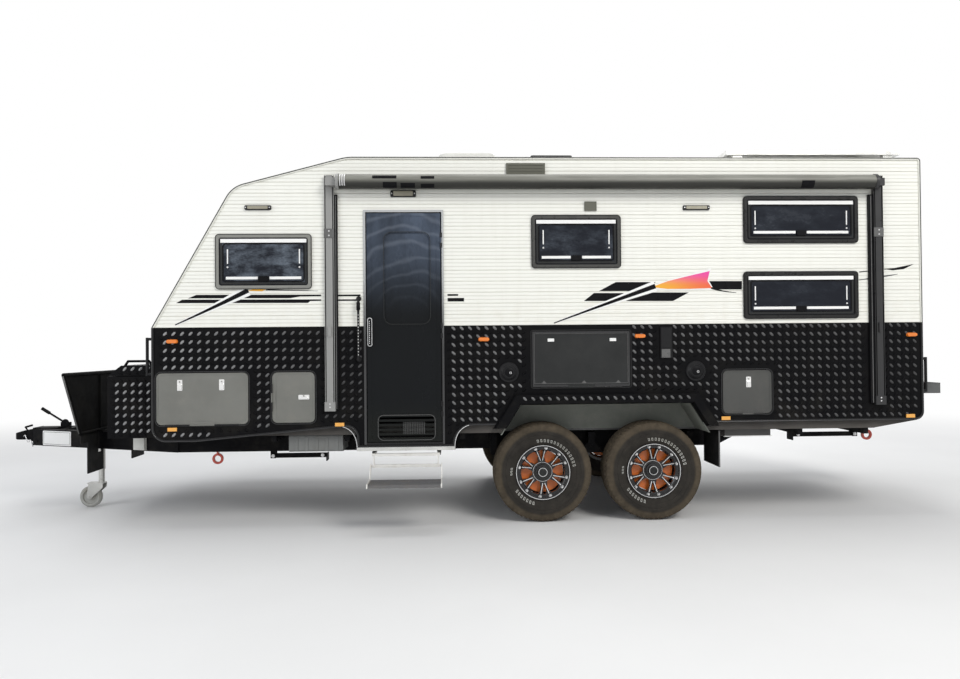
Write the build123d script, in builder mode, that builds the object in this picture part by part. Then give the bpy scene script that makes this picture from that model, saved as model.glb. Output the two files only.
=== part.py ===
"""A twin-axle off-road travel caravan. Millimetres, Z up, standing on z = 0, nose towards -X, door side -Y."""

from build123d import *
from math import asin, atan2, cos, degrees, hypot, sin
import os

os.makedirs("parts", exist_ok=True)

# Body
body_width = 2440
half_width = body_width / 2
front_x = -2490
rear_x = 3700
roof_z = 2905
belt_z = 1560
wall = 35
inner_half = half_width - wall
# The step and awning stand out further than anything on the far side, so the middle of the whole is off the body's.
centre_y = 140

# Heights of the body and chassis are told from a datum above the ground, those of the wheels from the ground.
datum_z = 30

# Planes through the middle of the body, at the datum: side view, plan and cross section
middle = Plane(origin=(0, centre_y, datum_z), x_dir=(1, 0, 0), z_dir=(0, -1, 0))
base = Plane(origin=(0, centre_y, datum_z))
across = Plane(origin=(0, centre_y, datum_z), x_dir=(0, 1, 0), z_dir=(1, 0, 0))

# Upper wall boards: height of one, and the V groove between two
board = 88
board_groove = 4.2

# Floor and chassis
floor_z = 700
floor_top_z = 785
rail_bottom_z = 520
rail_y = 720
rail_width = 50
rail_rear_x = 3560
a_frame_join_x = -2450
a_frame_nose_x = -4000
a_frame_top_z = 670
nose_half_spacing = 62

# Axles and wheels
axle_mid_x = 1040
axle_gap = 905
wheel_z = 400
tyre_radius = 400
tyre_width = 265
wheel_y = 1035
rim_radius = 222
bead_radius = 203.2
bore_radius = 22
wheel_xs = {"front": axle_mid_x - axle_gap / 2, "rear": axle_mid_x + axle_gap / 2}

# Springs: four leaves bent to one centre, the main one rolled to an eye at each end
hub_z = wheel_z - datum_z
beam = 25
spring_y = 805
spring_width = 60
spring_half = 380
spring_radius = 1582
leaf = 9
leaf_halves = (300, 220, 150)
eye_bore = 8.3
pin_radius = 8
spring_low_z = hub_z + beam + 42
eye_reach = spring_radius - leaf - eye_bore
eye_angle = asin(spring_half / eye_reach)
eye_z = spring_low_z + spring_radius - eye_reach * cos(eye_angle)
rocker_x = axle_gap / 2 - spring_half
rocker_z = eye_z + 42
shackle_x = wheel_xs["rear"] + spring_half + 14
shackle_z = eye_z + 58

# Wheel arch, a trapezoid: half length at the foot and at the top
arch_x = 1095
arch_foot_half = 806
arch_top_half = 688
arch_foot_z = 735
arch_top_z = 922
arch_band = 92
arch_reach = 60
well_y = 850
well_skin = 8

# Entry door
door_x0, door_x1 = -811, -226
door_z0, door_z1 = 643, 2456
door_frame_width = 22
door_hinge_zs = (900, 1520, 2240)
gap = 5
sill_z = 600
hinge_out = 13
barrel_radius = 5.5
flange = 6

# Windows: name, x of the middle, height of the middle, width, height, near side, far side
window_rows = (
    ("front", -1616, 2075, 752, 436, True, True),
    ("kitchen", 861, 2225, 722, 427, True, True),
    ("upper_bunk", 2696, 2399, 947, 383, True, True),
    ("lower_bunk", 2691, 1787, 947, 385, True, False),
)
window_corner = 30
window_border = 35
window_proud = 14

# Locker doors: name, x0, x1, z0, z1, corner radius, near side, far side
locker_rows = (
    ("tunnel", -2452, -1743, 798, 1202, 40, True, True),
    ("small", -1555, -1224, 805, 1201, 40, True, False),
    ("table", 500, 1286, 1064, 1507, 10, True, False),
    ("rear", 2040, 2439, 834, 1181, 40, True, False),
)
leaf_thick = 28
frame_lip = 14
opening_lip = 10

# Nose equipment
box_front_x, box_rear_x = -2940, -2515
box_half = 970
box_z0, box_z1 = 670, 1262
box_skin = 8
box_hinge_ys = (-600, 0, 600)
lid_axis_x, lid_axis_z = -2504, 1266
guard_x = -3270
guard_tube = 16
coupling_x = -4130
jockey_x, jockey_y = -3325, -212
jockey_trail = 92
jockey_radius = 95

# Corner steadies: end, x of the pivot, direction of the leg, height of the pivot, length
steady_rows = (
    ("front", -1660, 1, 480, 450),
    ("rear", 3380, -1, 600, 560),
)

# Step
step_x = -508
step_half = 257
step_y = half_width + 42
step_top_z = 545
step_low_z = 458
tread_z = 360

# Rear bar and spare wheel
bar_x0, bar_x1 = 3730, 3890
bar_z0, bar_z1 = 975, 1060
spare_x = 4031
spare_z = 1020

# Awning
awning_x0, awning_x1 = -1013, 3300
awning_z = 2690
awning_out = 82
awning_radius = 58


def keep(piece, label):
    """Names a finished piece and writes it."""
    piece.part.label = label
    export_step(piece.part, f"parts/{label}.step")


def block(x0, x1, y0, y1, z0, z1, mode=Mode.ADD):
    """A box by its limits, y from the middle of the body."""
    with Locations(((x0 + x1) / 2, (y0 + y1) / 2, (z0 + z1) / 2)):
        Box(x1 - x0, y1 - y0, z1 - z0, mode=mode)


def bar(start, end, radius):
    """A round bar between two points, y from the middle of the body."""
    start, end = Vector(*start), Vector(*end)
    with Locations(Plane(origin=(start + end) / 2, z_dir=end - start).location):
        Cylinder(radius, (end - start).length)


def hex_heads(x, z, y, reach, size=14):
    """The head and nut of a bolt across the body, bearing on faces this far to each side of y."""
    for plane, way in ((middle.offset(y + reach), 1), (middle.offset(y - reach), -1)):
        with BuildSketch(plane) as head:
            with Locations((x, z)):
                RegularPolygon(size, 6)
        extrude(head.sketch, amount=way * 8)


def panel(x0, x1, z0, z1, corner=0.0, mode=Mode.ADD):
    """A rectangle in a side view, with rounded corners if a radius is given."""
    with Locations(((x0 + x1) / 2, (z0 + z1) / 2)):
        if corner:
            RectangleRounded(x1 - x0, z1 - z0, corner, mode=mode)
        else:
            Rectangle(x1 - x0, z1 - z0, mode=mode)


# Corners of the body's side: x, height, radius
upper_corners = (
    (rear_x, 765, 70),
    (rear_x, roof_z, 30),
    (-965, roof_z, 400),
    (-1862, 2668, 220),
    (front_x, belt_z, 40),
    (front_x, 664, 110),
    (-2145, 664, 500),
)
near_corners = (
    (-894, 775, 90),
    (-894, sill_z, 12),
    (-123, sill_z, 12),
    (-123, 765, 150),
)
far_corners = ((-900, 765, 500),)


def side_face(near):
    """The outline of a whole side of the body."""
    corners = upper_corners + (near_corners if near else far_corners)
    points = [(x, z) for x, z, _ in corners]
    with BuildLine() as outline:
        FilletPolyline(*points, radius=[r for _, _, r in corners], close=True)
    make_face(outline.line)


def arch(grow, mode=Mode.ADD, foot_z=arch_foot_z):
    """The wheel arch's trapezoid, grown outwards, its sides drawn on down to a foot height."""
    slope = (arch_foot_half - arch_top_half) / (arch_top_z - arch_foot_z)
    wide = grow * hypot(1, slope)
    foot = arch_foot_half + wide + slope * (arch_foot_z - foot_z)
    top = arch_top_half + wide - slope * grow
    with BuildLine() as outline:
        Polyline(
            (arch_x - foot, foot_z),
            (arch_x - top, arch_top_z + grow),
            (arch_x + top, arch_top_z + grow),
            (arch_x + foot, foot_z),
            close=True,
        )
    make_face(outline.line, mode=mode)


def holes(near):
    """Window, door, locker and wheel openings, cut from a side's sketch."""
    for _, x, z, width, height, on_near, on_far in window_rows:
        if on_near if near else on_far:
            w, h = width / 2 - opening_lip, height / 2 - opening_lip
            panel(x - w, x + w, z - h, z + h, window_corner - opening_lip, Mode.SUBTRACT)
    for _, x0, x1, z0, z1, corner, on_near, on_far in locker_rows:
        if on_near if near else on_far:
            lip = opening_lip
            panel(x0 - lip, x1 + lip, z0 - lip, z1 + lip, corner + lip, Mode.SUBTRACT)
    if near:
        lip = door_frame_width - 6
        panel(door_x0 - lip, door_x1 + lip, door_z0 - lip, door_z1 + lip, 0, Mode.SUBTRACT)
    arch(0, Mode.SUBTRACT, foot_z=floor_z - 60)


# Heights of the grooves, and their places on the raked front and the upright rear
board_zs = [belt_z + board * row for row in range(1, 16)]
nose_rake = (-1862 - front_x) / (2668 - belt_z)
front_grooves = [(front_x + nose_rake * (z - belt_z), z) for z in board_zs[:11]]
rear_grooves = [(rear_x, z) for z in board_zs]


def side_wall(near, upper):
    """One panel of a side, above or below the belt line."""
    z0, z1 = (belt_z, roof_z) if upper else (sill_z - 10, belt_z)
    side = 1 if near else -1
    with BuildPart() as piece:
        with BuildSketch(middle.offset(side * inner_half)):
            side_face(near)
            panel(front_x, rear_x, z0, z1, mode=Mode.INTERSECT)
            holes(near)
        extrude(amount=side * wall)
        if upper:
            with BuildSketch(across.offset(front_x)):
                with Locations(*((-side * half_width, z) for z in board_zs)):
                    Rectangle(board_groove, board_groove, rotation=45)
            extrude(amount=rear_x - front_x, mode=Mode.SUBTRACT)
    return piece


near_wall_upper = side_wall(True, True)
keep(near_wall_upper, "near_wall_upper")
near_wall_lower = side_wall(True, False)
keep(near_wall_lower, "near_wall_lower")
far_wall_upper = side_wall(False, True)
keep(far_wall_upper, "far_wall_upper")
far_wall_lower = side_wall(False, False)
keep(far_wall_lower, "far_wall_lower")


def end_panel(x0, x1, z0, z1, grooves=()):
    """The stretch of the skin between the side walls that lies within these limits."""
    with BuildPart() as piece:
        with BuildSketch(middle):
            side_face(False)
            offset(amount=-wall, kind=Kind.INTERSECTION, mode=Mode.SUBTRACT)
            panel(x0, x1, z0, z1, mode=Mode.INTERSECT)
        extrude(amount=inner_half, both=True)
        if grooves:
            with BuildSketch(middle):
                with Locations(*grooves):
                    Rectangle(board_groove, board_groove, rotation=45)
            extrude(amount=inner_half, both=True, mode=Mode.SUBTRACT)
    return piece


roof_start_x = -965
front_wall_lower = end_panel(front_x, front_x + wall, floor_z, belt_z)
keep(front_wall_lower, "front_wall_lower")
front_wall_upper = end_panel(front_x, roof_start_x, belt_z, roof_z, front_grooves)
keep(front_wall_upper, "front_wall_upper")
roof_panel = end_panel(roof_start_x, rear_x - wall, roof_z - 2 * wall, roof_z)
keep(roof_panel, "roof_panel")
rear_wall = end_panel(rear_x - wall, rear_x, floor_top_z, roof_z, rear_grooves)
keep(rear_wall, "rear_wall")

# Floor, with its rear end cut up for ground clearance and gaps over the wheels
with BuildPart() as floor_panel:
    with BuildSketch(middle):
        with BuildLine():
            Polyline(
                (front_x + wall, floor_z),
                (3300, floor_z),
                (rear_x - wall, floor_top_z - 25),
                (rear_x - wall, floor_top_z),
                (front_x + wall, floor_top_z),
                close=True,
            )
        make_face()
    extrude(amount=inner_half, both=True)
    for side in (1, -1):
        with BuildSketch(middle.offset(side * (well_y - well_skin - 1))):
            arch(well_skin + 1, foot_z=floor_z - 20)
        extrude(amount=side * 400, mode=Mode.SUBTRACT)
keep(floor_panel, "floor_panel")

# Inner linings over the wheels
with BuildPart() as wheel_wells:
    with BuildSketch(middle.offset(well_y - well_skin)):
        arch(well_skin, foot_z=floor_z - 20)
    extrude(amount=inner_half - well_y + well_skin)
    with BuildSketch(middle.offset(well_y)):
        arch(0, foot_z=floor_z - 20)
    extrude(amount=400, mode=Mode.SUBTRACT)
    mirror(about=middle)
keep(wheel_wells, "wheel_wells")

# Flared bands round the wheel openings
with BuildPart() as wheel_spats:
    with BuildSketch(middle.offset(half_width)):
        arch(arch_band)
        arch(0, Mode.SUBTRACT)
    extrude(amount=arch_reach, taper=12)
    mirror(about=middle)
keep(wheel_spats, "wheel_spats")

# Edge mouldings round both sides
moulding_width = 18
moulding_proud = 8
with BuildPart() as edge_mouldings:
    for near in (True, False):
        side = 1 if near else -1
        with BuildSketch(middle.offset(side * half_width)):
            side_face(near)
            offset(amount=-moulding_width, kind=Kind.INTERSECTION, mode=Mode.SUBTRACT)
            arch(arch_band, Mode.SUBTRACT, foot_z=sill_z)
        extrude(amount=side * moulding_proud)
keep(edge_mouldings, "edge_mouldings")

# Hinge barrels: the leaf's in the middle, the frame's at both ends
barrel_gap = 1
flap_thick = 4


def barrels_along_x(x0, x1, z, side, leaf):
    """A hinge under a leaf: the leaf's barrel or the frame's two, with the flaps that carry them."""
    third = (x1 - x0) / 3
    spans = ((x0 + third, x1 - third),)
    if not leaf:
        spans = ((x0, x0 + third - barrel_gap), (x1 - third + barrel_gap, x1))
    y = -side * (half_width + hinge_out)
    face_y = -side * (half_width + flange)
    flap_y = sorted((face_y, face_y - side * flap_thick))
    for start, end in spans:
        bar((start, y, z), (end, y, z), barrel_radius)
        block(start, end, *flap_y, *((z, z + 26) if leaf else (z - 11.5, z)))


def barrels_along_z(x, way, z0, z1, leaf):
    """A hinge beside a leaf of the near side; way is the leaf's direction from the axis."""
    third = (z1 - z0) / 3
    spans = ((z0 + third, z1 - third),)
    if not leaf:
        spans = ((z0, z0 + third - barrel_gap), (z1 - third + barrel_gap, z1))
    y = -(half_width + hinge_out)
    flap_x = sorted((x, x + way * 28)) if leaf else sorted((x, x - way * 11.5))
    for start, end in spans:
        bar((x, y, start), (x, y, end), barrel_radius)
        block(*flap_x, -(half_width + flange + flap_thick), -(half_width + flange), start, end)


# Frames of the windows, lockers and entry door, with their halves of the hinges
with BuildPart(base) as opening_frames:
    for _, x, z, width, height, on_near, on_far in window_rows:
        for side, present in ((1, on_near), (-1, on_far)):
            if not present:
                continue
            w, h = width / 2, height / 2
            inner_w, inner_h = w - window_border, h - window_border
            with BuildSketch(middle.offset(side * half_width)):
                panel(x - w, x + w, z - h, z + h, window_corner)
                panel(x - inner_w, x + inner_w, z - inner_h, z + inner_h, 14, Mode.SUBTRACT)
            extrude(amount=side * window_proud)
            w, h = w - opening_lip, h - opening_lip
            with BuildSketch(middle.offset(side * inner_half)):
                panel(x - w, x + w, z - h, z + h, window_corner - opening_lip)
                panel(x - inner_w, x + inner_w, z - inner_h, z + inner_h, 14, Mode.SUBTRACT)
            extrude(amount=side * wall)
    for name, x0, x1, z0, z1, corner, on_near, on_far in locker_rows:
        for side, present in ((1, on_near), (-1, on_far)):
            if not present:
                continue
            with BuildSketch(middle.offset(side * half_width)):
                lip = frame_lip
                panel(x0 - lip, x1 + lip, z0 - lip, z1 + lip, corner + lip)
                panel(x0 - gap, x1 + gap, z0 - gap, z1 + gap, corner + gap, Mode.SUBTRACT)
            extrude(amount=side * flange)
            with BuildSketch(middle.offset(side * inner_half)):
                lip = opening_lip
                panel(x0 - lip, x1 + lip, z0 - lip, z1 + lip, corner + lip)
                panel(x0 - gap, x1 + gap, z0 - gap, z1 + gap, corner + gap, Mode.SUBTRACT)
            extrude(amount=side * wall)
            if name == "table":
                with BuildSketch(middle.offset(inner_half)):
                    panel(x0 - gap, x1 + gap, z0 - gap, z1 + gap, corner + gap)
                extrude(amount=5)
            if name == "small":
                barrels_along_z(x0 - gap / 2, 1, z0 + 90, z1 - 90, False)
            else:
                barrels_along_x(x0 + 70, x1 - 70, z0 - gap / 2, side, False)
    with BuildSketch(middle.offset(half_width)):
        lip = door_frame_width
        panel(door_x0 - lip, door_x1 + lip, door_z0 - lip, door_z1 + lip, 8)
        panel(door_x0 - gap, door_x1 + gap, door_z0 - gap, door_z1 + gap, 0, Mode.SUBTRACT)
    extrude(amount=flange)
    with BuildSketch(middle.offset(inner_half)):
        lip = door_frame_width - 6
        panel(door_x0 - lip, door_x1 + lip, door_z0 - lip, door_z1 + lip)
        panel(door_x0 - gap, door_x1 + gap, door_z0 - gap, door_z1 + gap, 0, Mode.SUBTRACT)
    extrude(amount=wall)
    for z in door_hinge_zs:
        barrels_along_z(door_x1 + gap / 2, -1, z - 60, z + 60, False)
keep(opening_frames, "opening_frames")

# Window panes
with BuildPart() as window_panes:
    for _, x, z, width, height, on_near, on_far in window_rows:
        for side, present in ((1, on_near), (-1, on_far)):
            if present:
                w, h = width / 2 - window_border, height / 2 - window_border
                with BuildSketch(middle.offset(side * (half_width + 2))):
                    panel(x - w, x + w, z - h, z + h, 14)
                extrude(amount=side * 8)
keep(window_panes, "window_panes")


leaf_rim = 16


def locker_leaf(row, side):
    """A bottom-hinged locker door with a rim round its sunk middle."""
    _, x0, x1, z0, z1, corner, _, _ = row
    with BuildPart(base) as piece:
        with BuildSketch(middle.offset(side * (half_width + flange - leaf_thick))):
            panel(x0, x1, z0, z1, corner)
        extrude(amount=side * leaf_thick)
        with BuildSketch(middle.offset(side * (half_width + flange))):
            panel(x0 + leaf_rim, x1 - leaf_rim, z0 + 26, z1 - leaf_rim, max(6, corner - leaf_rim))
        extrude(amount=-side * 2, mode=Mode.SUBTRACT)
        barrels_along_x(x0 + 70, x1 - 70, z0 - gap / 2, side, True)
    return piece


for name, row, side in (
    ("near_tunnel_door", locker_rows[0], 1),
    ("far_tunnel_door", locker_rows[0], -1),
    ("picnic_table", locker_rows[2], 1),
    ("rear_locker_door", locker_rows[3], 1),
):
    keep(locker_leaf(row, side), name)

# Small locker door, hinged at its front edge
with BuildPart(base) as small_locker_door:
    _, x0, x1, z0, z1, corner, _, _ = locker_rows[1]
    with BuildSketch(middle.offset(half_width + flange - leaf_thick)):
        panel(x0, x1, z0, z1, corner)
    extrude(amount=leaf_thick)
    with BuildSketch(middle.offset(half_width + flange)):
        panel(x0 + 30, x1 - leaf_rim, z0 + leaf_rim, z1 - leaf_rim, corner - leaf_rim)
    extrude(amount=-2, mode=Mode.SUBTRACT)
    barrels_along_z(x0 - gap / 2, 1, z0 + 90, z1 - 90, True)
keep(small_locker_door, "small_locker_door")

# Entry door leaf: opening for its pane, louvred vent at the foot, pull handle, hinge barrels
pane_x0, pane_x1 = -671, -313
pane_z0, pane_z1 = 1579, 2302
vent_x0, vent_x1 = -723, -281
vent_z0, vent_z1 = 667, 848
louvres = 5
with BuildPart(base) as entry_door:
    with BuildSketch(middle.offset(half_width + flange - leaf_thick)):
        panel(door_x0, door_x1, door_z0, door_z1, 6)
        panel(pane_x0, pane_x1, pane_z0, pane_z1, 60, Mode.SUBTRACT)
        with Locations(((vent_x0 + vent_x1) / 2, (vent_z0 + vent_z1) / 2)):
            with GridLocations(0, (vent_z1 - vent_z0) / louvres, 1, louvres):
                SlotOverall(vent_x1 - vent_x0, 18, mode=Mode.SUBTRACT)
    extrude(amount=leaf_thick)
    with BuildSketch(middle.offset(half_width + flange)):
        panel(door_x0 + 34, door_x1 - 34, door_z0 + 20, door_z1 - 24, 10)
        panel(pane_x0 - 16, pane_x1 + 16, pane_z0 - 16, pane_z1 + 16, 76, Mode.SUBTRACT)
        panel(vent_x0 - 20, vent_x1 + 20, vent_z0 - 2, vent_z1 + 16, 44, Mode.SUBTRACT)
    extrude(amount=-3, mode=Mode.SUBTRACT)
    handle_y = -(half_width + flange)
    with BuildSketch(middle.offset(half_width + flange - 4)):
        panel(-810, -765, 1395, 1630, 10)
    extrude(amount=16, taper=6)
    bar((-787, handle_y - 38, 1425), (-787, handle_y - 38, 1600), 9)
    for z in (1432, 1593):
        bar((-787, handle_y, z), (-787, handle_y - 38, z), 8)
    for z in door_hinge_zs:
        barrels_along_z(door_x1 + gap / 2, -1, z - 60, z + 60, True)
keep(entry_door, "entry_door")

with BuildPart() as door_pane:
    with BuildSketch(middle.offset(half_width - 12)):
        panel(pane_x0, pane_x1, pane_z0, pane_z1, 60)
    extrude(amount=6)
keep(door_pane, "door_pane")

# Main rails, deep as far as the rear hangers and shallow behind them, with cross members and outriggers
rail_rise_x = 2150
cross_xs = (-2425, -1800, -1000, -200, 700, 1330, 2100, 2750)
outrigger_xs = (-2200, -1560, -980, step_x - step_half, step_x + step_half, -60, 2054, 2700, 3250)
# Spring hangers: x and height of the pin, half the space between the cheeks; the last is the shackles' boss
hanger_rows = (
    (wheel_xs["front"] - spring_half, eye_z, 32),
    (axle_mid_x, rocker_z, 38.5),
    (shackle_x, shackle_z, 0),
)
with BuildPart(base) as chassis_rails:
    with BuildSketch(middle.offset(rail_y - rail_width / 2)):
        with BuildLine():
            Polyline(
                (a_frame_join_x, rail_bottom_z),
                (rail_rise_x, rail_bottom_z),
                (rail_rise_x + 260, 650),
                (rail_rear_x, 650),
                (rail_rear_x, floor_z),
                (a_frame_join_x, floor_z),
                close=True,
            )
        make_face()
    extrude(amount=rail_width)
    for x in outrigger_xs:
        block(x - 20, x + 20, -inner_half + 25, -rail_y, 650, floor_z)
    for x, z, space in hanger_rows:
        block(x - 28, x + 28, -spring_y - 46, -rail_y, 606, 656)
        if space:
            for y in (-spring_y - space - 6, -spring_y + space):
                block(x - 28, x + 28, y, y + 6, z, 610)
                with Locations((x, y + 3, z)):
                    Cylinder(28, 6, rotation=(90, 0, 0))
            bar((x, -spring_y - space - 6, z), (x, -spring_y + space + 6, z), pin_radius)
            hex_heads(x, z, spring_y, space + 6)
        else:
            block(x - 18, x + 18, -spring_y - 30, -spring_y + 30, z, 610)
            bar((x, -spring_y - 30, z), (x, -spring_y + 30, z), 18)
            with Locations((x, -spring_y, z)):
                Cylinder(eye_bore, 62, rotation=(90, 0, 0), mode=Mode.SUBTRACT)
    mirror(about=middle)
    for x in cross_xs:
        block(x - 25, x + 25, -rail_y, rail_y, 650, floor_z)
    block(rail_rear_x - 50, rail_rear_x, -rail_y, rail_y, 650, floor_z)
    block(a_frame_join_x, a_frame_join_x + 50, -rail_y, rail_y, rail_bottom_z, floor_z)
    for (_, x, _, z, _), hang_z in zip(steady_rows, (rail_bottom_z, 650)):
        for y in (-rail_y, rail_y):
            for cheek in (-27, 27):
                block(x - 22, x + 22, y + cheek - 3, y + cheek + 3, z - 20, hang_z)
            with Locations((x, y, z)):
                Cylinder(8.3, 80, rotation=(90, 0, 0), mode=Mode.SUBTRACT)
    # Runners of the step, open to the middle
    for side in (1, -1):
        x = step_x + side * step_half
        for reach_in, reach_out, z0, z1 in ((-16, 16, 12, 18), (11, 16, -14, 18), (5, 16, -14, -12)):
            x0, x1 = sorted((x + side * reach_in, x + side * reach_out))
            block(x0, x1, -step_y + 80, -step_y + 460, step_top_z + z0, step_top_z + z1)
        for y in (100, 400):
            block(x - 16, x + 16, -step_y + y, -step_y + y + 40, step_top_z + 18, 660)
keep(chassis_rails, "chassis_rails")

# Drawbar: two rails from the nose back to the body, a cross member and the nose plates
a_slope = (rail_y + 8 - nose_half_spacing) / (a_frame_join_x - a_frame_nose_x)
half_rail = rail_width / 2 * hypot(1, a_slope)
guard_rail_y = nose_half_spacing + a_slope * (guard_x - a_frame_nose_x)
with BuildPart(base) as drawbar:
    with BuildSketch(base.offset(rail_bottom_z)):
        inner, outer = nose_half_spacing - half_rail, nose_half_spacing + half_rail
        run = a_slope * (a_frame_join_x - a_frame_nose_x)
        with BuildLine():
            Polyline(
                (a_frame_nose_x, -inner),
                (a_frame_nose_x, -outer),
                (a_frame_join_x, -outer - run),
                (a_frame_join_x, -inner - run),
                close=True,
            )
        make_face()
        mirror(about=Plane.XZ)
        with Locations((-3700, 0)):
            Rectangle(60, 2 * (nose_half_spacing + a_slope * 300), mode=Mode.ADD)
        with Locations((-2700, 0)):
            Rectangle(60, 2 * (nose_half_spacing + a_slope * 1300), mode=Mode.ADD)
    extrude(amount=a_frame_top_z - rail_bottom_z)
    block(a_frame_nose_x, a_frame_nose_x + 210, -70, 70, a_frame_top_z, a_frame_top_z + 10)
    block(a_frame_nose_x - 4, a_frame_nose_x + 8, -85, 85, rail_bottom_z, a_frame_top_z + 10)
    for side in (1, -1):
        with Locations((a_frame_nose_x + 60, side * 100, 560)):
            Box(70, 12, 50)
            Cylinder(11, 30, rotation=(90, 0, 0), mode=Mode.SUBTRACT)
keep(drawbar, "drawbar")

# Ball coupling on the nose plate, its socket open below, and the parking brake lever behind it
socket_radius = 25.4
ball_z = 582
coupling_top_z = 652
with BuildPart(base) as coupling:
    with BuildSketch(middle):
        with BuildLine():
            FilletPolyline(
                (a_frame_nose_x - 4, 540),
                (a_frame_nose_x - 4, 664),
                (a_frame_nose_x - 40, 664),
                (coupling_x + 30, coupling_top_z),
                (coupling_x - 62, coupling_top_z - 26),
                (coupling_x - 66, ball_z - 6),
                (coupling_x - 30, ball_z - 14),
                (coupling_x + 50, ball_z - 14),
                radius=(4, 4, 14, 40, 20, 8, 8, 16),
                close=True,
            )
        make_face()
    extrude(amount=52, both=True)
    with BuildSketch(base.offset(500)):
        with Locations((coupling_x, 0)):
            SlotOverall(132, 104)
        with Locations((a_frame_nose_x - 54, 0)):
            Rectangle(100, 76)
        with Locations((a_frame_nose_x - 12, 0)):
            Rectangle(16, 104)
    extrude(amount=200, mode=Mode.INTERSECT)
    with BuildSketch(base.offset(ball_z + 16)):
        with Locations((a_frame_nose_x - 62, 44), (a_frame_nose_x - 62, -44)):
            Rectangle(44, 14)
    extrude(amount=18, mode=Mode.SUBTRACT)
    with Locations((coupling_x, 0, ball_z)):
        Sphere(socket_radius, mode=Mode.SUBTRACT)
    with Locations((coupling_x, 0, ball_z - 20)):
        Cylinder(socket_radius, 40, mode=Mode.SUBTRACT)
    bar((coupling_x + 36, 0, coupling_top_z - 6), (coupling_x + 10, 0, coupling_top_z + 30), 7)
    bar((coupling_x + 14, 0, coupling_top_z + 26), (coupling_x + 78, 0, coupling_top_z + 44), 9)
    block(-3790, -3700, -12, 12, a_frame_top_z, a_frame_top_z + 52)
    with BuildSketch(middle.offset(12)):
        with Locations((-3745, a_frame_top_z + 46)):
            Circle(34)
            Circle(8, mode=Mode.SUBTRACT)
        panel(-3800, -3690, a_frame_top_z - 40, a_frame_top_z + 10, mode=Mode.SUBTRACT)
    extrude(amount=6)
    bar((-3745, 0, a_frame_top_z + 40), (-3920, 0, a_frame_top_z + 152), 9)
    bar((-3895, 0, a_frame_top_z + 136), (-3965, 0, a_frame_top_z + 181), 15)
keep(coupling, "coupling")

# Stone guard: a tube frame across the drawbar with a sheet behind it
guard_top_z = 1190
guard_top_half = 1005
guard_low_half = 735
guard_low_z = a_frame_top_z + guard_tube
with BuildPart(base) as stone_guard:
    corners = (
        (-guard_low_half, guard_low_z),
        (-guard_top_half, guard_top_z),
        (guard_top_half, guard_top_z),
        (guard_low_half, guard_low_z),
    )
    loop = corners + corners[:1]
    for (y0, z0), (y1, z1) in zip(loop[:-1], loop[1:]):
        bar((guard_x, y0, z0), (guard_x, y1, z1), guard_tube)
        with Locations((guard_x, y0, z0)):
            Sphere(guard_tube)
    for y in (-guard_rail_y, 0, guard_rail_y):
        bar((guard_x, y, guard_low_z), (guard_x, y, guard_top_z), 12)
    for y in (-guard_rail_y, guard_rail_y):
        block(guard_x - 40, guard_x + 40, y - 30, y + 30, a_frame_top_z, a_frame_top_z + 8)
    with BuildSketch(across.offset(guard_x - 2)):
        with BuildLine():
            Polyline(*corners, close=True)
        make_face()
    extrude(amount=4)
keep(stone_guard, "stone_guard")

# Rubber flaps: two below the stone guard, notched round the drawbar's rails, and two behind the rear wheels
flap_low_z = 330
flap_x = 2024
with BuildPart(base) as mud_flaps:
    block(guard_x - 5, guard_x + 5, -600, -310, flap_low_z, guard_low_z - guard_tube)
    notch = half_rail + 6
    block(guard_x - 5, guard_x + 5, -guard_rail_y - notch, -guard_rail_y + notch, 490, 690, Mode.SUBTRACT)
    block(guard_x - 5, guard_x + 5, -730, -600, 600, guard_low_z - guard_tube)
    block(flap_x, flap_x + 10, -inner_half + 25, -inner_half + 390, 394, 690)
    mirror(about=middle)
keep(mud_flaps, "mud_flaps")

# Front toolbox, open at the top, its front edge bevelled
bevel_x, bevel_z = 110, 84
with BuildPart(base) as toolbox:
    with BuildSketch(middle):
        with BuildLine():
            Polyline(
                (box_front_x, box_z0),
                (box_front_x, box_z1 - bevel_z - gap),
                (box_rear_x, box_z1 - bevel_z - gap),
                (box_rear_x, box_z0),
                close=True,
            )
        make_face()
    extrude(amount=box_half, both=True)
    block(
        box_front_x + box_skin,
        box_rear_x - box_skin,
        -box_half + box_skin,
        box_half - box_skin,
        box_z0 + box_skin,
        box_z1,
        Mode.SUBTRACT,
    )
    for y in box_hinge_ys:
        block(box_rear_x, lid_axis_x + 3, y - 60, y + 60, 1100, 1150)
        block(lid_axis_x - 3, lid_axis_x + 3, y - 60, y - 21, 1100, lid_axis_z)
        block(lid_axis_x - 3, lid_axis_x + 3, y + 21, y + 60, 1100, lid_axis_z)
        bar((lid_axis_x, y - 60, lid_axis_z), (lid_axis_x, y - 21, lid_axis_z), 6)
        bar((lid_axis_x, y + 21, lid_axis_z), (lid_axis_x, y + 60, lid_axis_z), 6)
keep(toolbox, "toolbox")

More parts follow.
